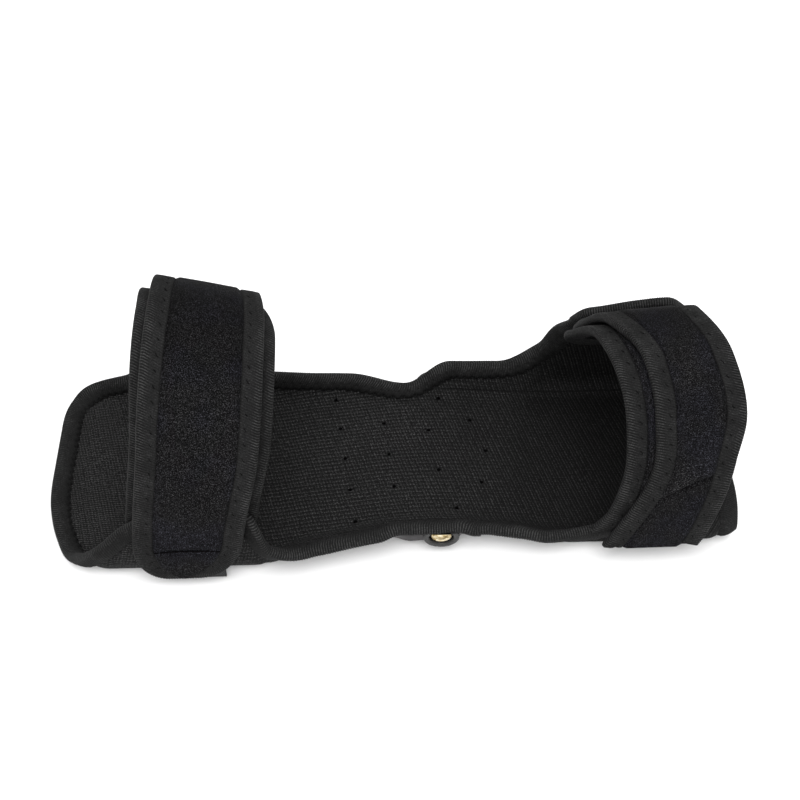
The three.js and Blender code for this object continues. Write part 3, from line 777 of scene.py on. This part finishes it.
def plush(name, contrast, level, crease=None):
    """Black brushed loop plush: fine grain whose brightest specks are painted sparkle, a painted shade
    that darkens it over the crown, and a painted highlight just above a crease."""
    r = Recipe(name, grey(0.006, 0.2), 0.85, **{"Specular IOR Level": 0.05})
    u, v = r.uv()
    grain = r.noise(size_mm=0.42, detail=1.0)
    tuft = r.noise(size_mm=1.1, detail=2.0)
    patch = r.noise(size_mm=16.0, detail=2.0)
    # Painted shade: the plush darkens over the strap's crown, further along its length.
    painted_light = r.rise(v, *CROWN_SHADE_SPAN, level, CROWN_SHADE_LEVEL * level)
    if crease:
        # Painted highlight: a paler band just past the crease, over the swelling that the strap's pile has
        # there.
        gap = r.math("SUBTRACT", crease["right"], u)
        fall = r.math("MULTIPLY", gap, gap)
        beyond = r.math("SUBTRACT", r.math("MULTIPLY_ADD", fall, crease["bow"], v), crease["top"])
        crease_highlight = r.math("MULTIPLY", r.rise(beyond, *BAND_START), r.rise(beyond, *BAND_END, 1.0, 0.0))
        painted_light = r.math("MULTIPLY_ADD", crease_highlight, HIGHLIGHT_GAIN, painted_light)
    tone = r.total((grain, contrast), (tuft, 0.15), (patch, 0.1), (1.0, 0.45 - 0.5 * contrast))
    # The ramp's bright top end is painted sparkle: glints on the tips of the grain, over its real uneven
    # tone.
    levels = greys((0.36, 0.0003), (0.52, 0.0017), (0.64, 0.0052), (0.78, 0.014), (0.95, 0.035))
    shade = r.times(r.ramp(tone, levels), painted_light)
    cool = r.noise(size_mm=22.0, detail=1.0)
    tint = r.ramp(cool, [(0.4, (1.02, 1.0, 1.05)), (0.6, (0.98, 0.98, 1.22))])
    bump = r.total((grain, 0.7), (tuft, 0.4))
    return r.finish(r.times(shade, tint), bump, distance_mm=0.5, strength=0.7)


def hook_tape():
    """Black hook tape: rows of tiny stiff hooks."""
    r = Recipe("hook_tape", grey(0.01), 0.5, **{"Specular IOR Level": 0.2})
    u, v = r.uv()
    over = r.math("SINE", r.math("MULTIPLY", u, TURN / HOOK_PITCH))
    along = r.math("SINE", r.math("MULTIPLY", v, TURN / HOOK_PITCH))
    dots = r.math("MULTIPLY", over, along)
    color = r.ramp(r.math("MULTIPLY_ADD", dots, 0.5, 0.5), greys((0.2, 0.006), (0.8, 0.03)))
    return r.finish(color, dots, distance_mm=0.4, strength=0.8)


def thread():
    """Black sewing thread."""
    r = Recipe("thread", grey(0.008), 0.6, **{"Specular IOR Level": 0.15})
    twist = r.noise(size_mm=0.25, detail=1.0)
    color = r.ramp(twist, greys((0.3, 0.003), (0.7, 0.012)))
    return r.finish(color, twist, distance_mm=0.1, strength=0.4)


def shade_black():
    """Black foam and cord in the depth of the holes and seams, made near-black as painted shade; the ticks'
    threads take it too.
    """
    r = Recipe("shade_black", grey(0.0008), 0.9, **{"Specular IOR Level": 0.02})
    cells = r.noise(size_mm=0.4, detail=1.0)
    color = r.ramp(cells, greys((0.3, 0.0006), (0.7, 0.003)))
    return r.finish(color, cells, distance_mm=0.1, strength=0.4)


def hinge_plate():
    """Dark satin plate with faint brushing."""
    r = Recipe("hinge_plate", grey(0.02), 0.5, **{"Specular IOR Level": 0.3})
    brush = r.noise(size_mm=1.2, detail=4.0)
    color = r.ramp(brush, [(0.3, (0.012, 0.011, 0.012)), (0.7, (0.03, 0.027, 0.029))])
    rough = r.math("MULTIPLY_ADD", brush, 0.25, 0.4)
    return r.finish(color, brush, distance_mm=0.05, strength=0.3, roughness=rough)


def housing():
    """Black moulded plastic with a fine grain."""
    r = Recipe("housing", grey(0.02), 0.5, **{"Specular IOR Level": 0.25})
    grain = r.noise(size_mm=0.5, detail=2.0)
    color = r.ramp(grain, greys((0.3, 0.014), (0.7, 0.03)))
    rough = r.math("MULTIPLY_ADD", grain, 0.15, 0.4)
    return r.finish(color, grain, distance_mm=0.04, strength=0.3, roughness=rough)


def brass():
    """Pale brass, turned and worn to darker gold in blotches."""
    r = Recipe("brass", (0.7, 0.6, 0.42), 0.3, **{"Metallic": 1.0})
    wear = r.noise(size_mm=2.4, detail=3.0)
    color = r.ramp(wear, [(0.36, (0.2, 0.14, 0.05)), (0.48, (0.5, 0.4, 0.22)), (0.62, (0.76, 0.68, 0.5))])
    rough = r.math("MULTIPLY_ADD", wear, 0.2, 0.2)
    return r.finish(color, wear, distance_mm=0.12, strength=0.5, roughness=rough)


KNIT = knit_mesh()
# lip_reach and lip_shade set the reach and depth of each tape's painted shade along its stitched lip.
PANEL_TAPE = edge_tape("panel_tape", lip_reach=6.5, lip_shade=0.3)
STRAP_TAPE = edge_tape("strap_tape", lip_reach=1.6, lip_shade=0.35)
PLUSH = plush("plush", contrast=1.8, level=1.05)
CALF_PLUSH = plush("calf_plush", contrast=1.35, level=1.25, crease=CALF_CREASE)
HOOK = hook_tape()
THREAD = thread()
SHADE_BLACK = shade_black()
PLATE = hinge_plate()
PLASTIC = housing()
BRASS = brass()


def carry(obj, slot, *nodes):
    """The piece moves with the brace and stands for the solids it is named with; the slot is not used."""
    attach(obj, "root")
    if nodes:
        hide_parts(*nodes)


# Liner panel

def panel_half(x, rows, straight):
    """Half width of the panel to one side, with rounded corners at the two ends."""
    full = smooth(FLOOR, "flat", x) + smooth(rows, "reach", x)
    bow = lambda t: (1 - (1 - np.clip(t, 0, 1)) ** CORNER_POWER) ** (1 / CORNER_POWER)
    left = straight["left"] + (1 - straight["left"]) * bow((x - X_LEFT) / LEFT_CORNER)
    right = straight["right"] + (1 - straight["right"]) * bow((X_RIGHT - x) / RIGHT_CORNER)
    return full * left * right


def near_half(x):
    """Half width of the panel on the near side."""
    return panel_half(x, NEAR_SIDE, NEAR_STRAIGHT)


def far_half(x):
    """Half width of the panel on the far side."""
    return panel_half(x, FAR_SIDE, FAR_STRAIGHT)


def panel_stations(count):
    """Places along the leg, crowded towards the two ends by cosines."""
    corner = count // 8
    bow = 1 - np.cos(np.linspace(0, np.pi / 2, corner, endpoint=False))
    left = X_LEFT + LEFT_CORNER * bow
    right = X_RIGHT - RIGHT_CORNER * bow[::-1]
    middle = np.linspace(X_LEFT + LEFT_CORNER, X_RIGHT - RIGHT_CORNER, count - 2 * corner)
    return np.concatenate([left, middle, right])


def from_rim(x, across):
    """Distance in from the panel's rim, to first order: the way across, shortened by the rim's slope."""
    slope = lambda half: (half(x + RIM_STEP) - half(x - RIM_STEP)) / (2 * RIM_STEP)
    near = (across + near_half(x)) / np.sqrt(1 + slope(near_half) ** 2)
    far = (far_half(x) - across) / np.sqrt(1 + slope(far_half) ** 2)
    return np.maximum(np.minimum(np.minimum(near, far), np.minimum(x - X_LEFT, X_RIGHT - x)), 0)


def hole_places():
    """Breather holes on the flat pattern: three slanting columns and an arc."""
    columns = [(x + slant * (first + k * pitch), first + k * pitch)
               for x, slant, first, pitch, count in HOLE_COLUMNS for k in range(count)]
    angles = np.radians(HOLE_ARC["first"] + HOLE_ARC["pitch"] * np.arange(HOLE_ARC["count"]))
    arc = np.stack([HOLE_ARC["x"] + HOLE_ARC["radius"] * np.cos(angles),
                    HOLE_ARC["across"] + HOLE_ARC["radius"] * np.sin(angles)], 1)
    return np.concatenate([columns, arc])


def pierce(x, across, hole_x, hole_across):
    """Moves the nine grid points nearest to each hole: one to its centre and eight to a circle round it."""
    distance = (x - hole_x) ** 2 + (across - hole_across) ** 2
    nearest = distance.reshape(len(distance), -1).argmin(axis=1)
    i, j = np.unravel_index(nearest, x.shape)
    di, dj = np.meshgrid((-1, 0, 1), (-1, 0, 1), indexing="ij")
    run = np.maximum(np.hypot(di, dj), 1.0)
    block = (i[:, None, None] + di, j[:, None, None] + dj)
    x[block] = hole_x + HOLE_RADIUS * di / run
    across[block] = hole_across + HOLE_RADIUS * dj / run
    return list(zip(i, j)), block


def liner_pad():
    """Padded panel on a grid of (x, share of the half width), pressed thin under the tape and pierced."""
    rows, columns = PAD_GRID
    x, share = np.meshgrid(panel_stations(rows), np.linspace(-1, 1, columns), indexing="ij")
    across = np.where(share < 0, share * near_half(x), share * far_half(x))
    hole_x, hole_across = hole_places().T[:, :, None, None]
    centres, block = pierce(x, across, hole_x, hole_across)
    rim = from_rim(x, across)
    half = RIM_HALF + (LIP_HALF - RIM_HALF) * step(0, TAPE_LIP, rim)
    half = half + (PANEL_HALF - LIP_HALF) * step(TAPE_LIP - PAD_UNDER_LIP, TAPE_LIP + PAD_SWELL, rim)
    pinch = hump(np.hypot(x - hole_x, across - hole_across), 0, PINCH_WIDTH).sum(axis=0)
    inner = step(TAPE_LIP, TAPE_LIP + PAD_SAG_RISE, rim)
    sag = ripple(SEEDS["pad"], *PAD_WAVES)(x, across)
    top = half - PINCH_TOP * pinch + PAD_SAG * inner * sag
    bottom = half - PINCH_BOTTOM * pinch
    below = x.copy()
    below[block] += HOLE_SLANT * (hole_across > HOLE_STEEP)
    upper = lifted(panel_surface, x, across, top)
    lower = lifted(panel_surface, below, across, -bottom)
    obj = slab("liner_pad", upper, lower, np.stack([x, across], -1), KNIT, centres)
    carry(obj, "knit_mesh", "liner_panel")


# Edge tape

def tape_section(lip, slot_lip, slot_rim, wall, bulge):
    """Section of a folded tape as (inward distance, height, share of the outer face) round its outline."""
    def face(count):
        t = np.linspace(0, 1, count)
        rolled = np.sqrt(np.clip(1 - (1 - np.clip(lip * t / TAPE_ROLL, 0, 1)) ** 2, 0, 1))
        base = slot_lip + (slot_rim - slot_lip) * t
        thick = wall * (LIP_SHARE + (1 - LIP_SHARE) * rolled)
        return lip * (1 - t), base + thick + bulge * np.sin(np.pi * t) * rolled

    upper_d, upper_h = face(UPPER_POINTS)
    lower_d, lower_h = face(LOWER_POINTS)
    angle = np.radians(NOSE_ANGLES)
    nose_d = -TAPE_NOSE * np.cos(angle)
    nose_h = upper_h[-1] * np.sin(angle)
    d = np.concatenate([upper_d, nose_d, lower_d[::-1]])
    h = np.concatenate([upper_h, nose_h, -lower_h[::-1]])
    inner_d = np.array([lip, -TAPE_GAP, -TAPE_GAP, lip])
    inner_h = np.array([-slot_lip, -slot_rim, slot_rim, slot_lip])
    outer = np.concatenate([np.ones(len(d)), np.zeros(len(inner_d))])
    return np.concatenate([d, inner_d]), np.concatenate([h, inner_h]), outer


class Edge:
    """A tape's run along a rim: pattern points and inward ways at any length, evenly measured in space."""

    def __init__(self, surface, a, b, closed, lip):
        self.surface, self.closed = surface, closed
        if closed:
            a, b = np.append(a, a[0]), np.append(b, b[0])
        space = surface(a, b)
        run = np.concatenate([[0], np.cumsum(np.linalg.norm(np.diff(space, axis=0), axis=1))])
        self.length = run[-1]
        ribs = int(self.length / RIB_PITCH)
        self.s = np.linspace(0, self.length, RIB_SAMPLES * ribs, endpoint=not closed)
        self.rim = np.stack([np.interp(self.s, run, a), np.interp(self.s, run, b)], 1)
        spread = RIM_SPREAD / (self.s[1] - self.s[0])
        if closed:
            self.rim = soften(self.rim, spread, True)
            ahead = np.roll(self.rim, -1, 0) - np.roll(self.rim, 1, 0)
        else:
            ahead = np.gradient(self.rim, axis=0)
        inward = np.stack([-ahead[:, 1], ahead[:, 0]], 1)
        inward /= np.linalg.norm(inward, axis=1, keepdims=True)
        lip_line = soften(self.rim + inward * lip, LIP_SPREAD * spread, closed)
        self.inward = (lip_line - self.rim) / lip

    def at(self, s, d):
        """Pattern point at length s and distance d in from the rim, each an array."""
        if self.closed:
            s = s % self.length
            grid = np.append(self.s, self.length)
            wide = lambda column: np.append(column, column[0])
        else:
            grid, wide = self.s, lambda column: column
        pick = lambda column: np.interp(s, grid, wide(column))
        a = pick(self.rim[:, 0]) + d * pick(self.inward[:, 0])
        b = pick(self.rim[:, 1]) + d * pick(self.inward[:, 1])
        return a, b

    def even_pitch(self, pitch):
        """The pitch nearest to the one given that divides the edge evenly."""
        return self.length / round(self.length / pitch)


def pits(s, d, at_d, shift, pitch):
    """Small bells where the needle goes through the cloth, at one distance in and at an even pitch."""
    offset = (s - shift + pitch / 2) % pitch - pitch / 2
    return np.exp(-(offset ** 2 + (d - at_d) ** 2) / (2 * PIT_SIZE ** 2))


def tape(name, node, edge, lip, size, scalloped, seed):
    """Folded tape: the section swept along an edge, with ribs, needle pits and an uneven lip."""
    d, h, outer = tape_section(lip, **size)
    s = edge.s[:, None] + RIB_SLANT * np.clip(d, 0, lip) * np.sign(h)
    if not edge.closed:
        s = np.clip(s, 0, edge.length)
    uneven = ripple(seed, *UNEVEN_WAVES)(edge.s)[:, None]
    rib_phase = (np.arange(len(edge.s)) % RIB_SAMPLES) / RIB_SAMPLES
    rib = RIB_HEIGHT * np.sin(TURN * rib_phase)[:, None]
    if scalloped:
        pitch = edge.even_pitch(STITCH_PITCH)
        scallop = SCALLOP_REACH * np.cos(TURN * s / pitch) * step(lip - SCALLOP_DEPTH, lip, d)
        at_lip = pits(s, d, lip - STITCH_OVER, pitch / 2, pitch)
        needle = pits(s, d, STITCH_INNER * lip, 0.0, pitch) + LIP_PIT * at_lip
    else:
        pitch = edge.even_pitch(TICK_PITCH)
        scallop = 0.0
        first, second = TICK_PITS
        needle = pits(s, d, first * lip, 0.0, pitch) + pits(s, d, second * lip, TICK_SLANT, pitch)
    reach = d + scallop + UNEVEN_REACH * uneven * (d > UNEVEN_FROM * lip)
    swell = rib + UNEVEN_HEIGHT * uneven - PIT_DEPTH * needle * (h > 0)
    a, b = edge.at(s, reach)
    points = lifted(edge.surface, a, b, h + np.sign(h) * swell * outer)
    ring = np.concatenate([[0], np.cumsum(np.hypot(np.diff(d), np.diff(h)))])
    v = np.append(ring, ring[-1] + 1)
    u = np.arange(len(edge.s) + 1) * RIB_PITCH / RIB_SAMPLES
    obj = swept(name, points, u, v, PANEL_TAPE if scalloped else STRAP_TAPE, edge.closed)
    carry(obj, "edge_tape", node)
    return obj


def stitches(name, start, end, up, thread, material):
    """Bowed round threads between pairs of points: a parabola for the middle line, tapered to its ends."""
    count, rings = len(start), len(THREAD_TAPER)
    t = np.linspace(0, 1, rings)
    angle = TURN * np.arange(THREAD_SIDES) / THREAD_SIDES
    way = end - start
    way /= np.linalg.norm(way, axis=1, keepdims=True)
    side = np.cross(way, up)
    side /= np.linalg.norm(side, axis=1, keepdims=True)
    rise = np.cross(side, way)
    line = start[:, None] + (end - start)[:, None] * t[None, :, None]
    line = line + rise[:, None] * (thread["bow"] * (4 * t * (1 - t)) - THREAD_SINK)[None, :, None]
    width = thread["radius"] * np.array(THREAD_TAPER)
    over = side[:, None, None] * np.cos(angle)[None, None, :, None]
    ring = over + rise[:, None, None] * np.sin(angle)[None, None, :, None]
    points = line[:, :, None] + ring * width[None, :, None, None]
    corner = grid_faces(rings, THREAD_SIDES, False, True)
    tube = corner[..., 0] * THREAD_SIDES + corner[..., 1] % THREAD_SIDES
    cap = np.array([[0, 1, 2, 3], [0, 3, 4, 5]])
    one = np.concatenate([tube, cap, cap[:, ::-1] + (rings - 1) * THREAD_SIDES])
    faces = (one[None] + rings * THREAD_SIDES * np.arange(count)[:, None, None]).reshape(-1, 4)
    obj = make_piece(name, points, faces, np.zeros((faces.size, 2)), material)
    carry(obj, "edge_tape")


def zigzag(name, edge, lip, seed):
    """Zigzag thread: short bowed tubes from a pit near the tape's middle to the lip and back."""
    pitch = edge.even_pitch(STITCH_PITCH)
    count = int(round(edge.length / pitch))
    s = np.arange(2 * count) * pitch / 2
    even = np.arange(len(s)) % 2 == 0
    d = np.where(even, STITCH_INNER * lip, lip + STITCH_OVER)
    s = s + STITCH_ERROR * np.random.default_rng(seed).standard_normal(len(s))
    a, b = edge.at(s, d)
    points = lifted(edge.surface, a, b, np.where(even, *ZIGZAG_LEVELS))
    up = normals(edge.surface, a, b)
    stitches(name, points, np.roll(points, -1, 0), up, ZIGZAG_THREAD, THREAD)


def ticks(name, edge, lip, seed):
    """Short slanting stitches along the middle of a strap's tape, one at each pitch."""
    pitch = edge.even_pitch(TICK_PITCH)
    s = (np.arange(int(round(edge.length / pitch)) - 1) + 1) * pitch
    s = s + TICK_ERROR * np.random.default_rng(seed).standard_normal(len(s))
    level = np.full(len(s), TICK_LEVEL)
    start = edge.at(s, np.full(len(s), TICK_ENDS[0] * lip))
    end = edge.at(s + TICK_SLANT, np.full(len(s), TICK_ENDS[1] * lip))
    up = normals(edge.surface, *start)
    first = lifted(edge.surface, *start, level)
    last = lifted(edge.surface, *end, level)
    # The ticks take the near-black material: real stitches, darkened as painted shade of their pits.
    stitches(name, first, last, up, TICK_THREAD, SHADE_BLACK)


def panel_tape():
    """Tape round the whole rim of the panel, with its zigzag."""
    x = panel_stations(PANEL_EDGE_POINTS)
    count = PANEL_END_POINTS
    right = np.linspace(-near_half(X_RIGHT), far_half(X_RIGHT), count)[1:-1]
    left = np.linspace(far_half(X_LEFT), -near_half(X_LEFT), count)[1:-1]
    a = np.concatenate([x, np.full(count - 2, X_RIGHT), x[::-1], np.full(count - 2, X_LEFT)])
    b = np.concatenate([-near_half(x), right, far_half(x)[::-1], left])
    edge = Edge(panel_surface, a, b, True, TAPE_LIP)
    obj = tape("panel_tape", "panel_binding", edge, TAPE_LIP, PANEL_TAPE_SIZE, True, SEEDS["tape"])
    zigzag("panel_zigzag", edge, TAPE_LIP, SEEDS["zigzag"])


# Straps

def strap_stations(strap):
    """Lengths along a strap: even ones, and those of its tongue, crowded by cosines towards the tip."""
    start, end = strap_ends(strap)
    depth = strap["depth"]
    bow = depth * (1 - np.cos(np.linspace(0, np.pi / 2, TONGUE_ROWS, endpoint=False)))
    if strap["tongue"] == "near":
        body = np.linspace(start + depth, end, STRAP_ROWS)
        tongue = start + bow
    else:
        body = np.linspace(start, end - depth, STRAP_ROWS)
        tongue = end - bow
    return np.unique(np.concatenate([body, tongue]))


def pile_top(name, across, along, inside, seed):
    """Upper face of the plush: raised inside the tape, uneven, with a strap's own seam or crease."""
    sag = ripple(seed, *PLUSH_WAVES)(across, along)
    top = STRAP_HALF - PLUSH_SUNK + PLUSH_PILE * inside + PLUSH_SAG * sag * inside
    if name == "thigh_over":
        top = top - SEAM_GROOVE * hump(along, TONGUE_SEAM, SEAM_WIDTH) * inside
    if name == "calf_over":
        fall = CALF_CREASE["bow"] * (CALF_CREASE["right"] - across) ** 2
        beyond = along - (CALF_CREASE["top"] - fall)
        swell = CREASE_SWELL * step(*CREASE_RISE, beyond) * np.exp(-np.maximum(beyond, 0) / CREASE_FADE)
        top = top + (swell - CREASE_GROOVE * hump(beyond, CREASE_FOLD, CREASE_WIDTH)) * inside
    return top


def strap_cloth(name, surface, stations, half, seed):
    """Strap cloth on a grid of (share of the half width, along): a smooth sole and a plush upper face."""
    across = half[:, None] * np.linspace(-1, 1, STRAP_COLUMNS)
    along = np.broadcast_to(stations[:, None], across.shape)
    inside = step(STRAP_LIP - PLUSH_RISE, STRAP_LIP + PLUSH_RISE, half[:, None] - np.abs(across))
    upper = lifted(surface, across, along, pile_top(name, across, along, inside, seed))
    lower = lifted(surface, across, along, np.full(across.shape, -STRAP_HALF))
    material = CALF_PLUSH if name == "calf_over" else PLUSH
    obj = slab(name + "_plush", upper, lower, np.stack([across, along], -1), material)
    carry(obj, "plush", name + "_strap")
    return obj


def strap_rims(strap, stations):
    """Rims as (across, along) by the ending of their names: one round the tongue, or one for each edge."""
    even = np.linspace(*strap_ends(strap), STRAP_EDGE_POINTS)
    along = np.unique(np.concatenate([even, stations]))
    half = strap_half(strap, along)
    left = np.stack([-half[::-1], along[::-1]])
    right = np.stack([half, along])
    if strap["tongue"] == "none":
        return {"_left": left, "_right": right}
    order = [left, right] if strap["tongue"] == "near" else [right, left]
    return {"": np.concatenate(order, axis=1)}


def strap_pieces(name, seed):
    """A strap's cloth, the tape folded round its edge, and the tape's ticks."""
    strap = STRAPS[name]
    surface = strap_surface(strap)
    along = strap_stations(strap)
    half = strap_half(strap, along)
    cloth = strap_cloth(name, surface, along, half, seed)
    for k, (ending, (a, b)) in enumerate(strap_rims(strap, along).items()):
        edge = Edge(surface, a, b, False, STRAP_LIP)
        tape_name, node = name + "_tape" + ending, name + "_binding" + ending
        obj = tape(tape_name, node, edge, STRAP_LIP, STRAP_TAPE_SIZE, False, seed + k)
        ticks(name + "_ticks" + ending, edge, STRAP_LIP, seed + SEEDS["ticks"] + k)
    length = np.linalg.norm(np.diff(surface(np.zeros_like(along), along), axis=0), axis=1).sum()


def tongue_seam():
    """Row of stitches across the thigh strap near the end of its tongue, on a shallow parabola."""
    surface = strap_surface(STRAPS["thigh_over"])
    across = np.linspace(-SEAM_HALF, SEAM_HALF, SEAM_POINTS)
    along = TONGUE_SEAM - SEAM_BOW * (across ** 2)
    points = lifted(surface, across, along, np.full(len(across), STRAP_HALF + SEAM_LEVEL))
    up = normals(surface, across, along)[:-1]
    # The seam's thread takes the near-black material: painted shade along its groove.
    stitches("tongue_seam", points[:-1], points[1:], up, SEAM_THREAD, SHADE_BLACK)


# Hook tab

def hook_tab():
    """Corner of the hook tab under the tongue: a thin sheet with a cut corner on the thigh strap's path."""
    strap = STRAPS["thigh_over"]
    surface = strap_surface(strap)
    stations = np.linspace(TAB["foot"], TAB["top"], TAB_POINTS)
    left = TAB["left"] + TAB["cut"] * np.maximum(1 - (stations - TAB["foot"]) / TAB["cut"], 0)
    across = left[:, None] + (TAB["right"] - left)[:, None] * np.linspace(0, 1, TAB_POINTS)
    along = np.broadcast_to(stations[:, None], across.shape)
    strap_layer = strap["run"]["layer"][0]
    upper = lifted(surface, across, along, np.full(across.shape, TAB["outer"] - strap_layer))
    lower = lifted(surface, across, along, np.full(across.shape, TAB["inner"] - strap_layer))
    obj = slab("hook_tab", upper, lower, np.stack([across, along], -1), HOOK)
    carry(obj, "hook_tape", "thigh_hook_tab")


# Hinges

def arm_line(direction, x):
    """Line near the rim that an arm hangs from, with the ways out of and down the wall."""
    flat = smooth(FLOOR, "flat", x)
    rim = flat + smooth(NEAR_SIDE if direction < 0 else FAR_SIDE, "reach", x)
    across = direction * np.minimum(rim - ARM_TOP_FROM_RIM, flat + ARM_TOP_LIMIT)
    out = -normals(wall_surface, x, across)
    down = np.cross(out, np.array([direction, 0.0, 0.0]))
    down /= np.linalg.norm(down, axis=-1, keepdims=True)
    place = wall_surface(x, across) + out * (PANEL_HALF + ARM_GAP)
    return place, out, down


def arm(name, direction, begin, finish, round_begin):
    """Hinge arm: a bevelled bar section carried along the wall, rounded at its free end."""
    x = np.linspace(begin, finish, ARM_POINTS)
    place, out, down = arm_line(direction, x)
    free = (x - begin) if round_begin else (finish - x)
    reach = np.clip(free / (ARM_HEIGHT / 2), 0, 1)
    half = ARM_HEIGHT / 2 * np.sqrt(np.maximum(1 - (1 - reach) ** 2, ARM_TIP))
    side = np.repeat([-1.0, 1.0], 4)
    inset = ARM_BEVEL * np.array([1, 0, 0, 1, 1, 0, 0, 1])
    rising = np.array([0, ARM_BEVEL, ARM_THICK - ARM_BEVEL, ARM_THICK])
    depth = np.concatenate([rising, rising[::-1]])
    height = ARM_HEIGHT / 2 + side * np.maximum(half[:, None] - inset, ARM_LEAST_HALF)
    points = place[:, None] + down[:, None] * height[..., None] + out[:, None] * depth[None, :, None]
    if direction > 0:
        points = points[:, ::-1]
    v = np.arange(len(depth) + 1) * ARM_PLAN_PITCH
    obj = swept(name + "_plate", points, x, v, PLATE, False)
    carry(obj, "hinge_plate", name)


def lathe(name, profile, centre, out, top, material, slot, node):
    """Turned piece: a (radius, depth) profile carried round the hinge's axis, levelled off at the top."""
    radius, depth = np.asarray(profile, float).T
    first = np.cross(out, [0.0, 0.0, 1.0])
    first /= np.linalg.norm(first)
    second = np.cross(out, first)
    angle = TURN * np.arange(ROUND_SIDES) / ROUND_SIDES
    ring = first[None] * np.cos(angle)[:, None] + second[None] * np.sin(angle)[:, None]
    points = centre + ring[:, None] * radius[None, :, None] + out * depth[None, :, None]
    points[..., 2] = np.minimum(points[..., 2], top)
    rows, columns = points.shape[:2]
    corner = grid_faces(rows, columns, True, False)
    faces = (corner[..., 0] % rows) * columns + corner[..., 1]
    obj = make_piece(name, points, faces, corner, material)
    work = bmesh.new()
    work.from_mesh(obj.data)
    bmesh.ops.remove_doubles(work, verts=work.verts, dist=WELD)
    bmesh.ops.recalc_face_normals(work, faces=work.faces)
    work.to_mesh(obj.data)
    work.free()
    carry(obj, slot, node)


def ring_profile(bore, radius, depth, bevel):
    """Profile of a flat ring with rounded corners: quarter circles at its outer and inner edge."""
    t = np.radians(np.linspace(0, 90, BEVEL_POINTS))
    outer = np.stack([radius - bevel + bevel * np.cos(t), depth - bevel + bevel * np.sin(t)], 1)
    inner = np.stack([bore + bevel - bevel * np.sin(t), depth - bevel + bevel * np.cos(t)], 1)
    return np.concatenate([[(bore, 0), (radius, 0)], outer, inner, [(bore, 0)]])


def hinge(label, direction, drop, seat):
    """Two arms and, over their joint, the spring's round housing with its rivet."""
    arm(label + "_thigh_arm", direction, THIGH_ARM_END, HINGE_X - ARM_JOINT_GAP / 2, True)
    arm(label + "_calf_arm", direction, HINGE_X + ARM_JOINT_GAP / 2, CALF_ARM_END, False)
    place, out, down = (v[0] for v in arm_line(direction, np.array([HINGE_X])))
    centre = place + out * (ARM_THICK + seat) + down * drop
    top = NEAR_HOUSING_TOP if direction < 0 else FREE_TOP
    ring = ring_profile(RING_BORE, RING_RADIUS, RING_DEPTH, RING_BEVEL)
    housing_node, rivet_node = label + "_spring_housing", label + "_hinge_rivet"
    lathe(label + "_spring_ring", ring, centre, out, top, PLASTIC, "housing", housing_node)
    lathe(label + "_rivet", RIVET_PROFILE, centre, out, top, BRASS, "rivet", rivet_node)


liner_pad()
panel_tape()
for order, strap_name in enumerate(STRAPS):
    strap_pieces(strap_name, SEEDS["strap"] + SEEDS["next_strap"] * order)
tongue_seam()
hook_tab()
for hinge_row in HINGES:
    hinge(*hinge_row)


# Floor, light and camera

# Paper on the floor: half its side and its depth under the brace in mm, and its finish
PAPER_REACH = 6000.0
PAPER_DROP = 0.3
PAPER_LEVEL = 0.93
PAPER_ROUGHNESS = 0.9

# Surround and lamps: places and sizes in metres, power in watts
SURROUND = 0.9
LAMP_SIZE = 0.9
LAMP_TARGET = (0.0, 0.0, 0.03)
LAMPS = [("key", (0.0, -0.75, 1.1), 17), ("fill", (0.2, 0.6, 1.1), 5)]

# Camera: place and target in metres, and its lens from the photograph's focal length in pixels
CAMERA_PLACE = (-0.00945, -0.47285, 0.5499)
CAMERA_TARGET = (0.008, 0.027, 0.032)
SENSOR_WIDTH = 36
FOCAL_PIXELS = 1398
PHOTO_PIXELS = 800
NEAREST = 0.01


def floor():
    """Wide pale square just under the brace."""
    corners = PAPER_REACH * np.array([(-1, -1, 0), (1, -1, 0), (1, 1, 0), (-1, 1, 0)])
    points = corners - np.array([0, 0, PAPER_DROP])
    paper = Recipe("floor", grey(PAPER_LEVEL), PAPER_ROUGHNESS).material
    obj = make_piece("floor", points, np.array([[0, 1, 2, 3]]), np.zeros((4, 2)), paper)


def look(obj, place, target):
    """Turns an object at a place so that its -Z axis meets a target."""
    way = Vector(target) - Vector(place)
    turned = way.to_track_quat("-Z", "Y").to_matrix().to_4x4()
    obj.matrix_world = Matrix.Translation(Vector(place)) @ turned


def soft_light(name, place, power):
    """Wide round lamp that faces the brace."""
    light = bpy.data.lights.new(name, "AREA")
    light.shape = "DISK"
    light.size = LAMP_SIZE
    light.energy = power
    look(in_scene(name, light), place, LAMP_TARGET)


def surround():
    """Even white world."""
    world = bpy.data.worlds.new("studio")
    world.use_nodes = True
    background = world.node_tree.nodes["Background"]
    background.inputs["Color"].default_value = (1, 1, 1, 1)
    background.inputs["Strength"].default_value = SURROUND
    bpy.context.scene.world = world


def view():
    """Camera at the photograph's angle."""
    camera = bpy.data.cameras.new("camera")
    camera.sensor_fit = "HORIZONTAL"
    camera.sensor_width = SENSOR_WIDTH
    camera.lens = SENSOR_WIDTH * FOCAL_PIXELS / PHOTO_PIXELS
    camera.clip_start = NEAREST
    obj = in_scene("camera", camera)
    look(obj, CAMERA_PLACE, CAMERA_TARGET)
    bpy.context.scene.camera = obj
    bpy.context.scene.view_settings.view_transform = "Standard"


floor()
surround()
for lamp in LAMPS:
    soft_light(*lamp)
view()
